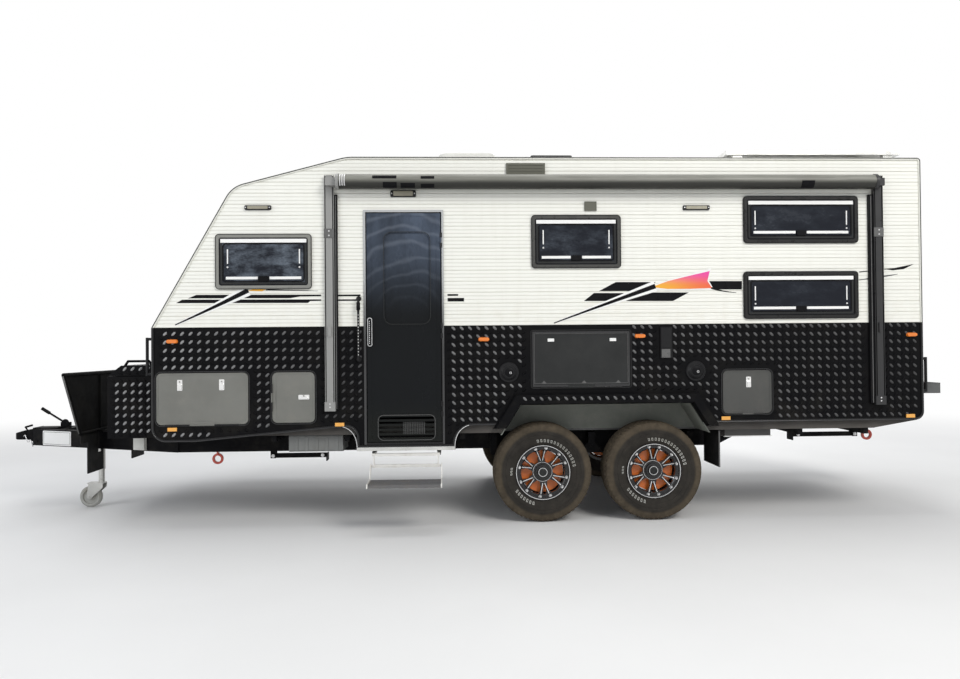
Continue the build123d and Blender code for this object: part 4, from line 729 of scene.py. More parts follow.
def tread(shape, place, region, holes, start, lean, pitch=PITCH):
    """Fills a region with bars from a starting point, leaving a margin round its edge and its openings."""
    xs, zs = [p[0] for p in region], [p[1] for p in region]
    # Slot 1 bars carry the painted highlight, slot 0 bars stay dark
    for half, angle, slot in ((0.0, radians(45 * lean), 1), (0.5, radians(-45 * lean), 0)):
        spots = []
        for first, span in ((start[0] + half * pitch, xs), (start[1] + half * pitch, zs)):
            counts = range(int((min(span) - first) / pitch) - 1, int((max(span) - first) / pitch) + 2)
            spots.append([first + i * pitch for i in counts])
        for u in spots[0]:
            for w in spots[1]:
                reach = [(u + a, w + b) for a in BAR_REACH for b in BAR_REACH]
                if not all(inside(region, *p) for p in reach):
                    continue
                if any(inside(hole, *p) for hole in holes for p in reach):
                    continue
                lozenge(shape, place, u, w, angle, slot)


LOCKER_FRAME = 0.016
NOSE_EDGE = [(FRONT + 0.022, BELT - 0.004), (FRONT + 0.022, 0.74), (-2.40, 0.69), (-2.10, 0.695)]
TAIL_EDGE = [(REAR - 0.06, 0.785), (REAR - 0.022, 0.82), (REAR - 0.022, BELT - 0.004)]
NEAR_LOWER = NOSE_EDGE + [(-0.93, 0.80), (-0.87, 0.76), (-0.87, 0.62), (-0.84, 0.62), (-0.84, BELT - 0.004)]
NEAR_REST = [(-0.20, BELT - 0.004), (-0.20, 0.63), (-0.15, 0.63), (-0.12, 0.74), (-0.02, 0.785)] + TAIL_EDGE
FAR_LOWER = NOSE_EDGE + [(-0.90, 0.79)] + TAIL_EDGE
ARCH = [(0.17, 0.70), (0.355, 1.02), (1.835, 1.02), (2.02, 0.70)]
SPEAKERS = ((0.311, 1.184), (1.82, 1.18))
BOX_HALF, BOX_FRONT, BOX_PITCH = 0.97, -2.94, 0.063
TUNNEL, SMALL = (-2.452, -1.743, 0.798, 1.202), (-1.555, -1.224, 0.805, 1.201)
LOCKER, TABLE = (2.04, 2.439, 0.834, 1.181), (0.5, 1.286, 1.064, 1.507)


def tread_plates():
    shape = Shape()
    near, far = on_side(-1), on_side(1)
    arms = [rect(-1.142, -1.036, 0.895, BELT), rect(3.25, 3.37, 0.895, BELT)]
    rims = [rect(*grown(box, LOCKER_FRAME)) for box in (TUNNEL, SMALL, LOCKER, TABLE)]
    fittings = [circle(x, z, 0.088) for x, z in SPEAKERS] + [rect(1.534, 1.63, 1.286, 1.536)]
    ahead, behind = (-2.4524, 1.4448), (1.3245, 1.3398)
    tread(shape, near, NEAR_LOWER, rims[:2] + arms, ahead, 1)
    tread(shape, near, NEAR_REST, rims[2:] + arms + fittings + [ARCH], behind, -1)
    tread(shape, far, FAR_LOWER, rims[:1] + [ARCH], ahead, -1)
    for place, foot in ((on_end(REAR, 1), 0.80), (on_end(FRONT, -1), 0.74)):
        tread(shape, place, rect(-1.17, 1.17, foot, 1.55), [], (0.0, 1.5), 1)
    shape.make("tread_bars", PLATE, GLINT)
    sides = [on_side(side, BOX_HALF) for side in (-1, 1)]
    box = Shape()
    for place in sides:
        tread(box, place, rect(-2.935, -2.52, 0.675, 1.168), [], (-2.9267, 1.1078), 1, BOX_PITCH)
    tread(box, on_end(BOX_FRONT, -1), rect(-0.96, 0.96, 0.675, 1.168), [], (0.0, 1.1078), 1, BOX_PITCH)
    box.make("toolbox_bars", PLATE, GLINT)
    lid = Shape()
    knuckles = [rect(-2.56, -2.5, y - 0.05, y + 0.05) for y in (-0.6, 0, 0.6)]
    feet = [rect(-2.83, -2.58, y - 0.03, y + 0.03) for y in (-0.94, 0.94)]
    top = rect(-2.825, -2.52, -0.965, 0.965)
    tread(lid, on_top(1.262), top, knuckles + feet, (-2.8, 0.0), 1, BOX_PITCH)
    for place in sides:
        region = [(-2.925, 1.182), (-2.835, 1.258), (-2.52, 1.258), (-2.52, 1.182)]
        tread(lid, place, region, [], (-2.9267, 1.2338), 1, BOX_PITCH)
    lid.make("toolbox_lid_bars", PLATE, GLINT, body="toolbox_lid")
    strip = Shape()
    place = on_side(-1, HALF + 0.06)
    # The bars along the arch alternate between painted-highlight ones and dark ones
    for k in range(41):
        lozenge(strip, place, 0.433 + k * 0.0655 / 2, 0.974, radians(45 if k % 2 else -45), 1 - k % 2)
    strip.make("arch_bars", PLATE, GLINT)


tread_plates()


# Beads along the mouldings
def outline_points(corners, n=8):
    """A closed outline with each corner (x, z, radius) rounded."""
    points = []
    for i, (x, z, r) in enumerate(corners):
        here = Vector((x, z))
        back = (Vector(corners[i - 1][:2]) - here).normalized()
        ahead = (Vector(corners[(i + 1) % len(corners)][:2]) - here).normalized()
        if not r or abs(back.dot(ahead)) > 0.99999:
            points.append(here)
            continue
        half = back.angle(ahead) / 2
        middle = here + (back + ahead).normalized() * (r / sin(half))
        start, end = here + back * (r * cos(half) / sin(half)), here + ahead * (r * cos(half) / sin(half))
        for k in range(n + 1):
            way = (start - middle).lerp(end - middle, k / n).normalized()
            points.append(middle + way * r)
    return points


def bead(shape, place, points, inset, width, low, height, skip):
    """A half-round bead inside a closed outline, left out where skip says so."""
    n, steps = len(points), 6
    verts = []
    for i, point in enumerate(points):
        ahead = (points[(i + 1) % n] - point).normalized()
        behind = (point - points[i - 1]).normalized()
        inward = Vector((-(ahead + behind).y, (ahead + behind).x)).normalized()
        stretch = 1 / max(0.5, inward.dot(Vector((-ahead.y, ahead.x))))
        for k in range(steps + 1):
            a = pi * k / steps
            at = point + inward * stretch * (inset - width / 2 * cos(a))
            verts.append(place(at.x, at.y, low + height * sin(a)))
    pairs = [(i, (i + 1) % n) for i in range(n) if not skip((points[i] + points[(i + 1) % n]) / 2)]
    shape.add(verts, strips(steps + 1, pairs), 0, True)


# Corners of the walls' outline: x, height, radius
TOP_CORNERS = [(REAR, 0.765, 0.07), (REAR, 2.905, 0.03), (-0.965, 2.905, 0.4), (-1.862, 2.668, 0.22)]
TOP_CORNERS += [(FRONT, BELT, 0.04), (FRONT, 0.664, 0.11), (-2.145, 0.664, 0.5)]
NEAR_CORNERS = [(-0.894, 0.775, 0.09), (-0.894, 0.6, 0.012), (-0.123, 0.6, 0.012), (-0.123, 0.765, 0.15)]
ARCH_FOOT = [(0.199, 0.765, 0), (1.991, 0.765, 0)]


def under_arch(p):
    """Whether a point of the outline is in the wheel arch, where the beads stop."""
    return 0.2 < p.x < 1.99 and p.y < 0.8


def edge_beads():
    shape = Shape()
    for side, low in ((-1, NEAR_CORNERS), (1, [(-0.9, 0.765, 0.5)])):
        points = outline_points(TOP_CORNERS + low + ARCH_FOOT)
        bead(shape, on_side(side), points, 0.005, 0.008, 0.0075, 0.0030, under_arch)
    shape.make("edge_beads", GLOSS)


edge_beads()


# Decals on the near wall: plain stripes, two thin sweeps and a gradient wedge
def stroke(shape, place, path, widths, low, high, slot=0):
    """A tapering stripe along points."""
    left, right = [], []
    for i, (x, z) in enumerate(path):
        x0, z0 = path[max(0, i - 1)]
        x1, z1 = path[min(len(path) - 1, i + 1)]
        length = hypot(x1 - x0, z1 - z0)
        nx, nz = -(z1 - z0) / length, (x1 - x0) / length
        w = widths[i] / 2
        left.append((x + nx * w, z + nz * w))
        right.append((x - nx * w, z - nz * w))
    for i in range(len(path) - 1):
        slab(shape, place, [left[i], left[i + 1], right[i + 1], right[i]], low, high, slot)


def arc_points(start, bend, end, n=14):
    points = []
    for t in (k / n for k in range(n + 1)):
        a, b, c = (1 - t) ** 2, 2 * t * (1 - t), t * t
        points.append((a * start[0] + b * bend[0] + c * end[0], a * start[1] + b * bend[1] + c * end[1]))
    return points


def taper(path, first, last):
    """A width for each point of a path, from the first to the last."""
    n = len(path) - 1
    return [first + (last - first) * k / n for k in range(n + 1)]


def decals():
    shape = Shape()
    near = on_side(-1)
    low, high, film = 0.0, 0.0012, 0.0008
    black = [
        [(-2.205, 1.789), (-2.143, 1.816), (-1.17, 1.813), (-1.17, 1.800), (-1.335, 1.799), (-1.413, 1.786)],
        [(-2.298, 1.752), (-2.252, 1.779), (-1.17, 1.775), (-1.17, 1.764), (-1.257, 1.762), (-1.273, 1.748)],
        rect(-1.036, -0.86, 1.799, 1.812), rect(-1.036, -0.86, 1.762, 1.774),
        rect(-0.172, -0.088, 1.797, 1.811), rect(-0.172, -0.041, 1.752, 1.780),
        [(1.042, 1.828), (1.180, 1.900), (1.505, 1.898), (1.374, 1.827)],
        [(0.920, 1.749), (1.002, 1.813), (1.244, 1.811), (1.147, 1.748)],
        [(1.260, 1.747), (1.390, 1.815), (1.773, 1.813), (1.642, 1.745)],
        [(1.929, 1.904), (2.208, 1.903), (2.208, 1.835), (1.978, 1.836)],
        [(3.384, 1.995), (3.467, 2.002), (3.635, 2.034), (3.551, 1.994), (3.46, 1.984)],
    ]
    for outline in black:
        slab(shape, near, outline, low, high)
    first = arc_points((-2.307, 1.581), (-1.99, 1.722), (-1.74, 1.850))
    second = arc_points((0.677, 1.574), (1.18, 1.755), (1.50, 1.866))
    for path in (first, second):
        stroke(shape, near, path, taper(path, 0.012, 0.087), high, high + film, 1)
        stroke(shape, near, path, taper(path, 0.008, 0.038), high + film, high + 2 * film)
    tails = (
        (arc_points((-1.60, 1.853), (-1.40, 1.848), (-1.193, 1.842), 6), 0.010),
        (arc_points((1.955, 1.850), (2.02, 1.822), (2.16, 1.809), 8), 0.016),
        (arc_points((3.18, 1.972), (3.30, 1.984), (3.40, 1.992), 5), 0.008),
    )
    for path, width in tails:
        stroke(shape, near, path, taper(path, width, 0.2 * width), high, high + film)
    tail = arc_points((3.175, 1.906), (3.30, 1.922), (3.50, 1.953), 6)
    stroke(shape, near, tail, [0.004, 0.007, 0.011, 0.014, 0.013, 0.009, 0.003], low, high, 3)
    wedge = [(1.470, 1.858), (1.600, 1.905), (1.760, 1.943), (1.945, 1.985), (1.925, 1.905)]
    wedge += [(1.962, 1.848), (1.780, 1.842), (1.600, 1.842)]
    backing = [(x + (x - 1.75) * 0.06, z + (z - 1.88) * 0.22) for x, z in wedge]
    slab(shape, near, backing, high, high + 0.0006, 1)
    slab(shape, near, wedge, high + 0.0006, high + 0.0014, 2)
    fleck = [(-1.74, 1.846), (-1.70, 1.858), (-1.60, 1.856), (-1.63, 1.842)]
    slab(shape, near, fleck, high, high + 0.0012, 2)
    shape.make("stripes", DECAL, PAPER, wedge_film(), GREY_PLASTIC)


decals()


# Windows: x and height of the middle, width, height, and the sides that have one
WINDOWS = (
    (-1.616, 2.075, 0.752, 0.436, (-1, 1)), (0.861, 2.225, 0.722, 0.427, (-1, 1)),
    (2.696, 2.399, 0.947, 0.383, (-1, 1)), (2.691, 1.787, 0.947, 0.385, (-1,)),
)
# Bands round a window: how far in, corner radius, width, from, to, material
WINDOW_BANDS = (
    (0.0, 0.03, 0.005, 0.0130, 0.0152, 0), (0.012, 0.022, 0.016, 0.0135, 0.0170, 3),
    (0.030, 0.018, 0.007, 0.0095, 0.0150, 0), (0.040, 0.016, 0.014, 0.0098, 0.0125, 1),
)
ACRYLIC = 0.0098


def windows():
    shape = Shape()
    for x, z, w, h, sides in WINDOWS:
        x0, x1, z0, z1 = box = x - w / 2, x + w / 2, z - h / 2, z + h / 2
        middle = (x0 + x1) / 2
        for place in (on_side(side) for side in sides):
            for inset, r, width, low, high, slot in WINDOW_BANDS:
                band(shape, place, *grown(box, -inset), r, width, low, high, slot)
            band(shape, place, x0 + 0.056, x1 - 0.056, z0 + 0.056, z1 - 0.072, 0.03, 0.009, ACRYLIC, 0.0135)
            blind = rect(x0 + 0.040, x1 - 0.040, z1 - 0.069, z1 - 0.040)
            slab(shape, place, blind, ACRYLIC, 0.0160, 2, 0.002)
            for a, b in ((x0 + 0.082, middle - 0.045), (middle + 0.045, x1 - 0.082)):
                slab(shape, place, rect(a, b, z0 + 0.078, z0 + 0.099), ACRYLIC, 0.0135, 2, 0.001)
            catch = rounded(middle - 0.042, middle + 0.042, z0 + 0.060, z0 + 0.104, 0.012)
            slab(shape, place, catch, ACRYLIC, 0.0230, 0, 0.003)
            for edge in (x0 + 0.096, x1 - 0.096):
                stay = rect(edge - 0.0045, edge + 0.0045, z1 - 0.235, z1 - 0.120)
                slab(shape, place, stay, ACRYLIC, 0.0125, 2, 0.001)
                slab(shape, place, circle(edge, z1 - 0.262, 0.007, 12), ACRYLIC, 0.0130, 4)
    shape.make("window_details", BLACK, DARK_GREY, PAPER, FRAMES, SILVER)


windows()


# Latches and seals of the lockers, whose doors stand out from the wall as far as FACE
FACE = 0.006


def latch(shape, place, u, w, wide=0.042, tall=0.088):
    """A latch: its plate, its paddle, and the lock with its slot."""
    plate = rounded(u - wide / 2, u + wide / 2, w - tall / 2, w + tall / 2, 0.006)
    paddle = rounded(u - wide * 0.36, u + wide * 0.36, w - tall * 0.42, w + tall * 0.12, 0.005)
    slab(shape, place, plate, 0.0035, 0.0080, 0, 0.0015)
    slab(shape, place, paddle, 0.0078, 0.0150, 0, 0.003)
    key = w + tall * 0.30
    slab(shape, place, circle(u, key, 0.009, 16), 0.0078, 0.0120, 1, 0.001)
    slab(shape, place, rect(u - 0.0012, u + 0.0012, key - 0.006, key + 0.006), 0.0118, 0.0123, 2)


def locker_details():
    tunnel_latches = ((-2.271, 1.108), (-1.947, 1.109))
    rows = (
        ("near_tunnel_door", -1, TUNNEL, tunnel_latches, GREY),
        ("far_tunnel_door", 1, TUNNEL, tunnel_latches, GREY),
        ("small_locker_door", -1, SMALL, ((-1.309, 1.005, 0.088, 0.038),), GREY),
        ("rear_locker_door", -1, LOCKER, ((2.250, 1.087),), GREY_REAR),
    )
    back = FACE - 0.0005
    lip = Shape()
    # Each row: body, side, box, latches (x, height and, if they differ, width and height), paint
    for body, side, box, latches, paint in rows:
        shape = Shape()
        place = on_side(side)
        for row in latches:
            latch(shape, place, *row)
        band(shape, place, *grown(box, -0.001), 0.039, 0.006, back, FACE + 0.0015, 3)
        shape.make(body + "_details", CHROME, STEEL, BLACK, paint, body=body)
        band(lip, place, *grown(box, 0.013), 0.052, 0.004, back, FACE + 0.0015)
    shape = Shape()
    place = on_side(-1)
    x0, x1, z0, z1 = TABLE
    panel = x0 + 0.016, x1 - 0.016, z0 + 0.026, z1 - 0.016
    band(shape, place, *grown(TABLE, -0.001), 0.009, 0.015, back, FACE + 0.003, 3)
    band(shape, place, *panel, 0.006, 0.003, FACE - 0.003, FACE + 0.001, 4)
    for u in (0.650, 1.150):
        slab(shape, place, rounded(u - 0.027, u + 0.027, 1.425, 1.451, 0.004), 0.0035, 0.012, 5, 0.002)
    for u in (0.593, 0.915, 1.190):
        slab(shape, place, [(u - 0.020, 1.092), (u + 0.020, 1.092), (u, 1.114)], 0.0035, 0.0075, 4)
    shape.make("picnic_table_details", CHROME, STEEL, BLACK, GLOSS, EDGE_GREY, PAPER, body="picnic_table")
    lip.make("locker_lips", GLOSS)


locker_details()


# Entry door: edge with a painted pale reflection, pane seal, handle bezel, vent bars; sill strip, painted
# highlight strokes at the moulding corners, and trim on the wall
def door_details():
    wall = Shape()
    near = on_side(-1)
    for x0, x1 in ((-0.836, -0.819), (-0.2165, -0.2015)):
        slab(wall, near, rect(x0, x1, 0.622, 2.480), FACE - 0.0005, FACE + 0.003, 0, 0.001)
    slab(wall, near, rect(-0.836, -0.2015, 2.464, 2.481), FACE - 0.0005, FACE + 0.0025)
    slab(wall, near, rect(-0.90, -0.118, 0.574, 0.602), -0.02, 0.011, 1, 0.003)
    # Thin silver strokes up the curved moulding corners beside the door: painted highlights
    for way, foot in ((1, -0.123), (-1, -0.894)):
        curve = arc_points((foot, 0.604), (foot + way * 0.004, 0.735), (foot + way * 0.112, 0.768), 10)
        stroke(wall, near, curve, [0.005] * len(curve), 0.0075, 0.0128, 2)
    grip = [(-0.874, CY - HALF - 0.046, z + DATUM) for z in (1.686, 1.747)]
    tube(wall, grip, 0.0155, 3)
    for k in range(14):
        z = 1.335 + k * 0.024
        slab(wall, on_side(-1, HALF + 0.0545), ellipse(-0.874, z, 0.0035, 0.0055, 10), 0.0, 0.0035, 1)
    wall.make("door_surround", edge_trim(), ALUMINIUM, SILVER, BLACK)
    leaf = Shape()
    band(leaf, near, -0.678, -0.306, 1.572, 2.309, 0.066, 0.004, 0.0055, 0.0075)
    band(leaf, near, -0.806, -0.769, 1.400, 1.626, 0.016, 0.005, 0.0160, 0.0200, 1)
    for k in range(12):
        z = 1.425 + k * 0.0155
        slab(leaf, on_side(-1, HALF + 0.0525), ellipse(-0.787, z, 0.0035, 0.0045, 10), -0.001, 0.0015, 1)
    band(leaf, near, -0.730, -0.276, 0.655, 0.856, 0.044, 0.004, 0.0055, 0.0085, 2)
    for k in range(13):
        x = -0.526 + k * 0.0135
        slab(leaf, near, rect(x - 0.0018, x + 0.0018, 0.705, 0.800), 0.0058, 0.0082, 2)
    leaf.make("entry_door_details", DARK_GREY, SILVER, EDGE_GREY, body="entry_door")


door_details()


# Lamps, speakers, sockets, awning trim and other fittings on the near wall
ROLL_Y, ROLL_UP, ROLL_R = CY - HALF - 0.082, 2.690, 0.058


def on_roll(u, w, d):
    """Maps (along, height, out) on the awning roller's outer side."""
    radius = ROLL_R + d
    rise = max(-radius, min(radius, w - ROLL_UP))
    return (u, ROLL_Y - sqrt(radius * radius - rise * rise), w + DATUM)


def wall_details():
    shape = Shape()
    near = on_side(-1)
    lamps = ((-1.765, -1.555, 2.481, 2.521), (-0.620, -0.415, 2.583, 2.639), (1.730, 1.950, 2.477, 2.518))
    for x0, x1, z0, z1 in lamps:
        lens = rounded(x0 + 0.024, x1 - 0.024, z0 + 0.008, z1 - 0.008, 0.008)
        slab(shape, near, lens, 0.0175, 0.0200, 1, 0.002)
        for x in (x0 + 0.012, x1 - 0.012):
            slab(shape, near, circle(x, (z0 + z1) / 2, 0.005, 12), 0.0145, 0.0188, 2)
    dome = ((0, 0.040), (0.004, 0.034), (0.006, 0.018), (0.0065, 0.002))
    for x, z in SPEAKERS:
        for r in (0.078, 0.060, 0.046):
            round_band(shape, near, x, z, r, 0.002, 0.006, (0.083 - r) * 0.60 + 0.0035)
        turned(shape, near(x, z, 0.021), (0, -1, 0), dome, 3, 32)
        # An off-centre silver ring on each dome: a painted highlight
        round_band(shape, near, x + 0.012, z - 0.004, 0.0095, 0.0035, 0.026, 0.0290, 2, 16)
    slab(shape, near, rounded(1.541, 1.613, 1.289, 1.359, 0.004), 0.0135, 0.0185, 4, 0.002)
    band(shape, near, 1.536, 1.628, 1.366, 1.532, 0.004, 0.003, 0.0135, 0.0155, 0)
    for cover, edge in (((-1.062, -1.036), (-1.053, -1.047)), ((3.252, 3.290), (3.268, 3.274))):
        slab(shape, near, rect(*cover, 0.905, 2.60), 0.0, 0.022, 5)
        slab(shape, near, rect(*edge, 0.910, 2.59), 0.0215, 0.0240, 4)
    for x in ARMS_X:
        slab(shape, near, rect(x - 0.041, x + 0.041, 2.255, 2.330), 0.0338, 0.0375, 4, 0.002)
        for z in (2.275, 2.310, 0.925, 0.950):
            slab(shape, near, circle(x, z, 0.006, 12), 0.0370, 0.0405, 2)
    shape.make("wall_trim", BLACK, LAMP, SILVER, BLACK, EDGE_GREY, BLACK)
    roll = Shape()
    marks = (
        (-0.749, -0.562, 2.703, 2.729), (-0.667, -0.560, 2.636, 2.675), (-0.530, -0.418, 2.636, 2.668),
        (-0.373, -0.268, 2.701, 2.724), (-0.373, -0.268, 2.636, 2.662), (2.651, 2.755, 2.636, 2.689),
    )
    for x0, x1, z0, z1 in marks:
        for k in range(4):
            a, b = z0 + (z1 - z0) * k / 4, z0 + (z1 - z0) * (k + 1) / 4
            slab(roll, on_roll, rect(x0, x1, a, b), 0.0002, 0.0016)
    for x in (-1.003, -0.986, -0.969):
        for k in range(6):
            slab(roll, on_roll, rect(x, x + 0.008, 2.650 + 0.015 * k, 2.665 + 0.015 * k), 0.0002, 0.0015, 2)
    head = ((0, 0.008), (0.004, 0.008), (0.005, 0.005))
    for x, out in ((-1.025, -1), (3.272, 1)):
        for degrees in range(0, 360, 60):
            across, up = polar(0.040, degrees)
            at = Vector((x + out * 0.0115, ROLL_Y + across, ROLL_UP + DATUM + up))
            turned(roll, at, (out, 0, 0), head, 1, 8, False)
    roll.make("awning_marks", DECAL, BLACK, SILVER)


wall_details()


# Plate, box and hook on the drawbar; a painted highlight along the stone guard's edge; edges and bolts below
# the body; cells on the roof; tail lamps
def under_details():
    shape = Shape()
    plate = (-3.882, -3.566, 0.527, 0.659)
    slab(shape, on_drawbar, rounded(*plate, 0.010), -0.001, 0.004, 0, 0.001)
    band(shape, on_drawbar, *grown(plate, -0.010), 0.006, 0.003, 0.0035, 0.0048, 1)
    slab(shape, on_drawbar, rounded(-2.877, -2.764, 0.527, 0.639, 0.004), -0.001, 0.028, 2, 0.003)
    heights = [0.600 - 0.011 * k + 0.022 * sin(k * 1.5) for k in range(8)]
    hook = [(-4.100 + 0.012 * k, CY - 0.060, z + DATUM) for k, z in enumerate(heights)]
    tube(shape, hook, 0.005, 3, 8)
    # A thin pale tube along the stone guard's near edge: a painted highlight
    guard_highlight_tube = [(-3.27, CY - 1.018, 1.180 + DATUM), (-3.27, CY - 0.752, 0.690 + DATUM)]
    tube(shape, guard_highlight_tube, 0.006, 1, 8)
    slab(shape, on_side(-1, 1.16), rect(2.0235, 2.0345, 0.394, 0.690), -0.001, 0.0015, 1)
    bolts = ((2.880, 0.600, 0.742), (3.380, 0.600, 0.751), (-1.660, 0.480, 0.751), (-1.245, 0.480, 0.742))
    for side in (-1, 1):
        for x, z, y in bolts:
            bolt(shape, on_side(side, y - 0.001), x, z, 0.0, 0.011, 3)
        slab(shape, on_side(side, 0.849), rect(0.19, 2.00, 0.676, 0.692), 0.0, 0.004, 1)
    shape.make("under_details", PAPER, EDGE_GREY, WHITE_PLASTIC, SILVER)
    cells = Shape()
    slab(cells, on_top(3.026), rect(2.203, 3.677, -0.957, -0.313), 0.0, 0.0015)
    cells.make("solar_cells", CELLS)
    tail = Shape()
    lamp = on_end(REAR + 0.026, 1)
    for side in (-1, 1):
        y0, y1 = sorted((side * 1.050, side * 1.150))
        for z0, z1 in ((0.860, 1.010), (1.040, 1.190)):
            band(tail, lamp, y0, y1, z0, z1, 0.010, 0.005, -0.001, 0.003)
            for k in range(1, 6):
                z = z0 + (z1 - z0) * k / 6
                slab(tail, lamp, rect(y0 + 0.01, y1 - 0.01, z - 0.002, z + 0.002), -0.001, 0.0012, 1)
        slab(tail, on_side(side, 1.150), rounded(3.752, 3.888, 0.977, 1.058, 0.010), -0.001, 0.004, 2, 0.003)
    tail.make("tail_details", BLACK, LENS, GREY_PLASTIC)


under_details()


# Tyres with an all-terrain tread, standing for the plain ones
# The sidewall's section: how far out from the tyre's middle, radius
SIDEWALL = (
    (0.0975, 0.2036), (0.104, 0.215), (0.108, 0.228), (0.1165, 0.245), (0.1210, 0.260), (0.1240, 0.2705),
    (0.1275, 0.2715), (0.1302, 0.284), (0.1322, 0.300), (0.1300, 0.3025), (0.1300, 0.306), (0.1322, 0.3085),
    (0.1322, 0.322), (0.1290, 0.344), (0.1252, 0.358),
)


def tyre_mesh():
    segments, across, pitches, lanes, half = 240, 34, 60, 5, 0.118
    rows = [(-x, r, False) for x, r in SIDEWALL]
    for k in range(across + 1):
        x = -half + 2 * half * k / across
        shoulder = max(0.0, (abs(x) - 0.085) / 0.033)
        rows.append((x, 0.3996 - 0.010 * shoulder ** 2 - 0.0035 * (x / 0.12) ** 2, True))
    rows += [(x, r, False) for x, r in SIDEWALL[::-1]]
    verts = []
    for s in range(segments):
        a = 2 * pi * s / segments
        for x, r, on_tread in rows:
            depth = 0.0
            if on_tread:
                lane = (x + half) / (2 * half) * lanes
                lug = int(min(lanes - 1, lane))
                shift = (0.0, 0.35, 0.72, 0.2, 0.55)[lug]
                phase = (a / (2 * pi) * pitches + shift + 0.55 * sin(lane * 2.6)) % 1.0
                if abs(lane - round(lane)) < 0.085 and 0 < round(lane) < lanes:
                    depth = 0.010
                if phase < 0.24:
                    depth = 0.010 if lug in (0, lanes - 1) else 0.009
                elif lug in (1, 2, 3) and 0.58 < phase < 0.66:
                    depth = max(depth, 0.003)
            elif r > 0.335:
                phase = (a / (2 * pi) * pitches + (0.0 if x < 0 else 0.55)) % 1.0
                depth = 0.0045 if phase < 0.3 else 0.0
            verts.append((x, (r - depth) * cos(a), (r - depth) * sin(a)))
    mesh = bpy.data.meshes.new("tyre")
    mesh.from_pydata(verts, [], strips(len(rows), [(s, (s + 1) % segments) for s in range(segments)]))
    mesh.materials.append(TYRE)
    face_out(mesh)
    mesh.polygons.foreach_set("use_smooth", [True] * len(mesh.polygons))
    mesh.set_sharp_from_angle(angle=radians(38))
    return mesh


def sidewall_out(r):
    """How far out the tyre's sidewall is at a radius."""
    for (x0, r0), (x1, r1) in zip(SIDEWALL, SIDEWALL[1:]):
        if r0 <= r <= r1:
            return x0 + (x1 - x0) * (r - r0) / (r1 - r0)
    return 0.12


def wheel_place(centre, out):
    """Maps (across, up, out) on a wheel's face to the van's frame."""
    u, v = Vector((0, 0, 1)).cross(out).normalized(), Vector((0, 0, 1))
    return lambda a, b, d: tuple(centre + u * a + v * b + out * d)


def wheels():
    mesh = tyre_mesh()
    # Name, centre, turn about the vertical, way out, angle of the first spoke, body
    rows = []
    for end, x, first in (("front", WHEEL_X[0], 5.0), ("rear", WHEEL_X[1], -1.5)):
        for side, s in (("near", -1), ("far", 1)):
            name, centre = f"{end}_{side}", Vector((x, CY + s * WHEEL_Y, WHEEL_Z))
            rows.append((name, centre, 90 * s, Vector((0, s, 0)), first, name + "_wheel"))
    rows.append(("spare", SPARE, 0, Vector((1, 0, 0)), 5.0, "van"))
    for name, centre, turn, _, _, body in rows:
        tyre = add_object(name + "_tyre_skin", mesh)
        tyre.matrix_world = Matrix.Translation(centre) @ Matrix.Rotation(radians(turn), 4, "Z")
        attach(tyre, body)
        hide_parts(name + "_tyre")
    for name, centre, _, out, first, body in rows:
        rim_details(name, wheel_place(centre, out), out, first, body)


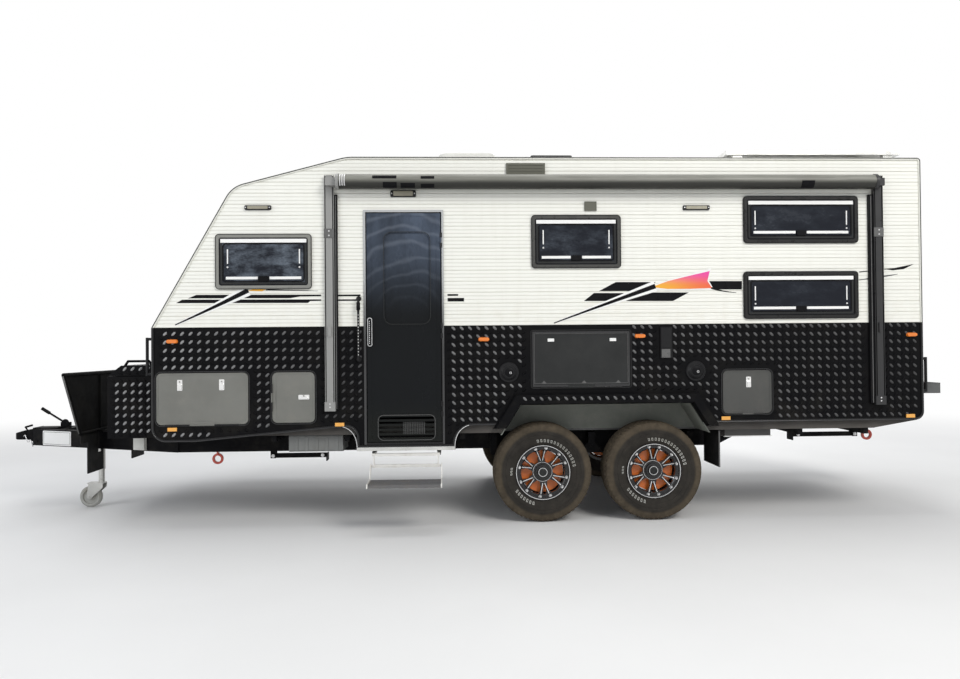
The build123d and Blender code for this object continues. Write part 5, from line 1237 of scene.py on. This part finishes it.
def rim_details(name, place, out, first, body):
    """Silver ribs beside the spokes, partly machined edges and partly painted highlights along their bevels;
    bolts round the lip; a painted highlight ring on the hub's step; hub cap; and raised bars on the sidewall.
    """
    shape = Shape()
    # Silver ribs along the spoke bevels: partly machined edges, partly painted highlights
    rib = ((0.092, 0.008, 0.0756), (0.170, 0.032, 0.0916), (0.187, 0.038, 0.1062))
    rib_faces = [(6, 7, 9, 8), (8, 9, 11, 10), (0, 6, 8, 2), (2, 8, 10, 4), (1, 3, 9, 7), (3, 5, 11, 9)]
    rib_faces += [(0, 1, 7, 6), (4, 10, 11, 5), (0, 2, 3, 1), (2, 4, 5, 3)]
    for spoke in (first + 30 + 60 * k for k in range(6)):
        for way in (-1, 1):
            x, z = polar(0.197, spoke + way * 12.5)
            round_band(shape, place, x, z, 0.0125, 0.0037, 0.1065, 0.1088, 0, 20)
            slab(shape, place, circle(x, z, 0.0078, 6, radians(spoke)), 0.1145, 0.1168, 0, 0.001)
            across, along = polar(1.0, spoke + 90), polar(1.0, spoke)
            corners = []
            for r, off, d in rib:
                for edge in (-0.0028, 0.0028):
                    reach = way * off + edge
                    corners.append((along[0] * r + across[0] * reach, along[1] * r + across[1] * reach, d))
            verts = [place(a, b, d + rise) for rise in (-0.002, 0.0025) for a, b, d in corners]
            shape.add(verts, rib_faces)
    # The thin ring at 0.079 is a painted highlight on the hub's step edge
    rings = ((0.219, 0.0045, 0.1130, 0.1183), (0.079, 0.0025, 0.0735, 0.0752), (0.036, 0.004, 0.1010, 0.1045))
    for r, width, low, high in rings:
        round_band(shape, place, 0, 0, r, width, low, high, 0, 64)
    cap = ((0.0, 0.029), (0.002, 0.028), (0.003, 0.018), (0.0032, 0.003))
    turned(shape, place(0, 0, 0.1015), out, cap, 1, 32)
    shape.make(name + "_rim_details", SILVER, DARK_GREY, body=body)
    marks = Shape()

    def on_wall(a, b, d):
        return place(a, b, sidewall_out(hypot(a, b)) + d)

    # Angle of the first bar, how many, degrees between them, inner and outer radius
    spans = ((12, 15, 6.2, 0.246, 0.270), (172, 3, 5.0, 0.250, 0.266), (214, 7, 6.2, 0.246, 0.270))
    for start, count, stride, low, high in spans:
        for a in (start + k * stride for k in range(count)):
            outer, inner = [], []
            for r, way in ((low, -1.6), (low, 1.6), (high, 2.4), (high, -0.8)):
                share, lean = (0.18, 0.18) if r == low else (0.82, 0.44)
                outer.append(polar(r, a + way))
                inner.append(polar(low + (high - low) * share, a + way * 0.45 + lean))
            ring(marks, on_wall, outer, inner, -0.0005, 0.0009)
    marks.make(name + "_sidewall_bars", PALE_RUBBER, body=body)


wheels()


# Studio: pale floor that fades to white, soft lamps, white background for the camera and for reflections
def seen_direct(tree):
    """1 for rays that look straight at a backdrop, see it mirrored or see it through glass."""
    path = tree.nodes.new("ShaderNodeLightPath")
    result = path.outputs["Is Camera Ray"]
    for kind in ("Is Transmission Ray", "Is Glossy Ray"):
        either = tree.nodes.new("ShaderNodeMath")
        either.operation = "MAXIMUM"
        tree.links.new(result, either.inputs[0])
        tree.links.new(path.outputs[kind], either.inputs[1])
        result = either.outputs[0]
    return result


def studio():
    mesh = bpy.data.meshes.new("studio_floor")
    size = 60.0
    mesh.from_pydata([(x, y, 0) for x, y in rect(-size, size, -size, size)], [], [(0, 1, 2, 3)])
    m = Nodes("studio_floor", (0.80, 0.80, 0.79), 0.7, Specular_IOR_Level=0.2)
    m.color(m.mix(m.range(m.noise(0.6, 4.0), 0.3, 0.7), (0.79, 0.79, 0.78), (0.82, 0.82, 0.81)))
    radius = m.reach(m.x, m.y)
    fade = m.times(m.range(radius, 5.0, 13.0), seen_direct(m.tree))
    glow = m.tree.nodes.new("ShaderNodeEmission")
    blend = m.tree.nodes.new("ShaderNodeMixShader")
    m.tree.links.new(fade, blend.inputs[0])
    m.tree.links.new(m.shader.outputs[0], blend.inputs[1])
    m.tree.links.new(glow.outputs[0], blend.inputs[2])
    m.tree.links.new(blend.outputs[0], m.tree.nodes["Material Output"].inputs["Surface"])
    mesh.materials.append(m.material)
    floor = add_object("studio_floor", mesh)
    # Name, place, size, watts, colour
    lamps = (
        ("key", (5.5, -9.5, 8.5), 5.0, 780, (1.0, 0.98, 0.95)),
        ("fill", (-8.5, -7.0, 5.0), 6.0, 330, (0.95, 0.97, 1.0)),
        ("top", (0.0, 1.0, 9.5), 8.0, 360, (1.0, 1.0, 1.0)),
        ("back", (3.0, 9.0, 6.0), 6.0, 420, (1.0, 1.0, 1.0)),
    )
    for name, place, size, power, tint in lamps:
        data = bpy.data.lights.new(name, "AREA")
        data.shape = "SQUARE"
        data.size = size
        data.energy = power
        data.color = tint
        aim = (Vector((0.0, CY, 1.2)) - Vector(place)).to_track_quat("-Z", "Y").to_matrix().to_4x4()
        add_object(name, data).matrix_world = Matrix.Translation(place) @ aim
    world = bpy.data.worlds.new("studio")
    world.use_nodes = True
    tree = world.node_tree
    soft = tree.nodes["Background"]
    soft.inputs["Color"].default_value = (0.9, 0.93, 1.0, 1)
    soft.inputs["Strength"].default_value = 0.42
    white = tree.nodes.new("ShaderNodeBackground")
    white.inputs["Color"].default_value = (1, 1, 1, 1)
    join = tree.nodes.new("ShaderNodeMixShader")
    tree.links.new(seen_direct(tree), join.inputs[0])
    tree.links.new(soft.outputs[0], join.inputs[1])
    tree.links.new(white.outputs[0], join.inputs[2])
    tree.links.new(join.outputs[0], tree.nodes["World Output"].inputs["Surface"])
    bpy.context.scene.world = world
    bpy.context.scene.view_settings.view_transform = "Standard"


studio()
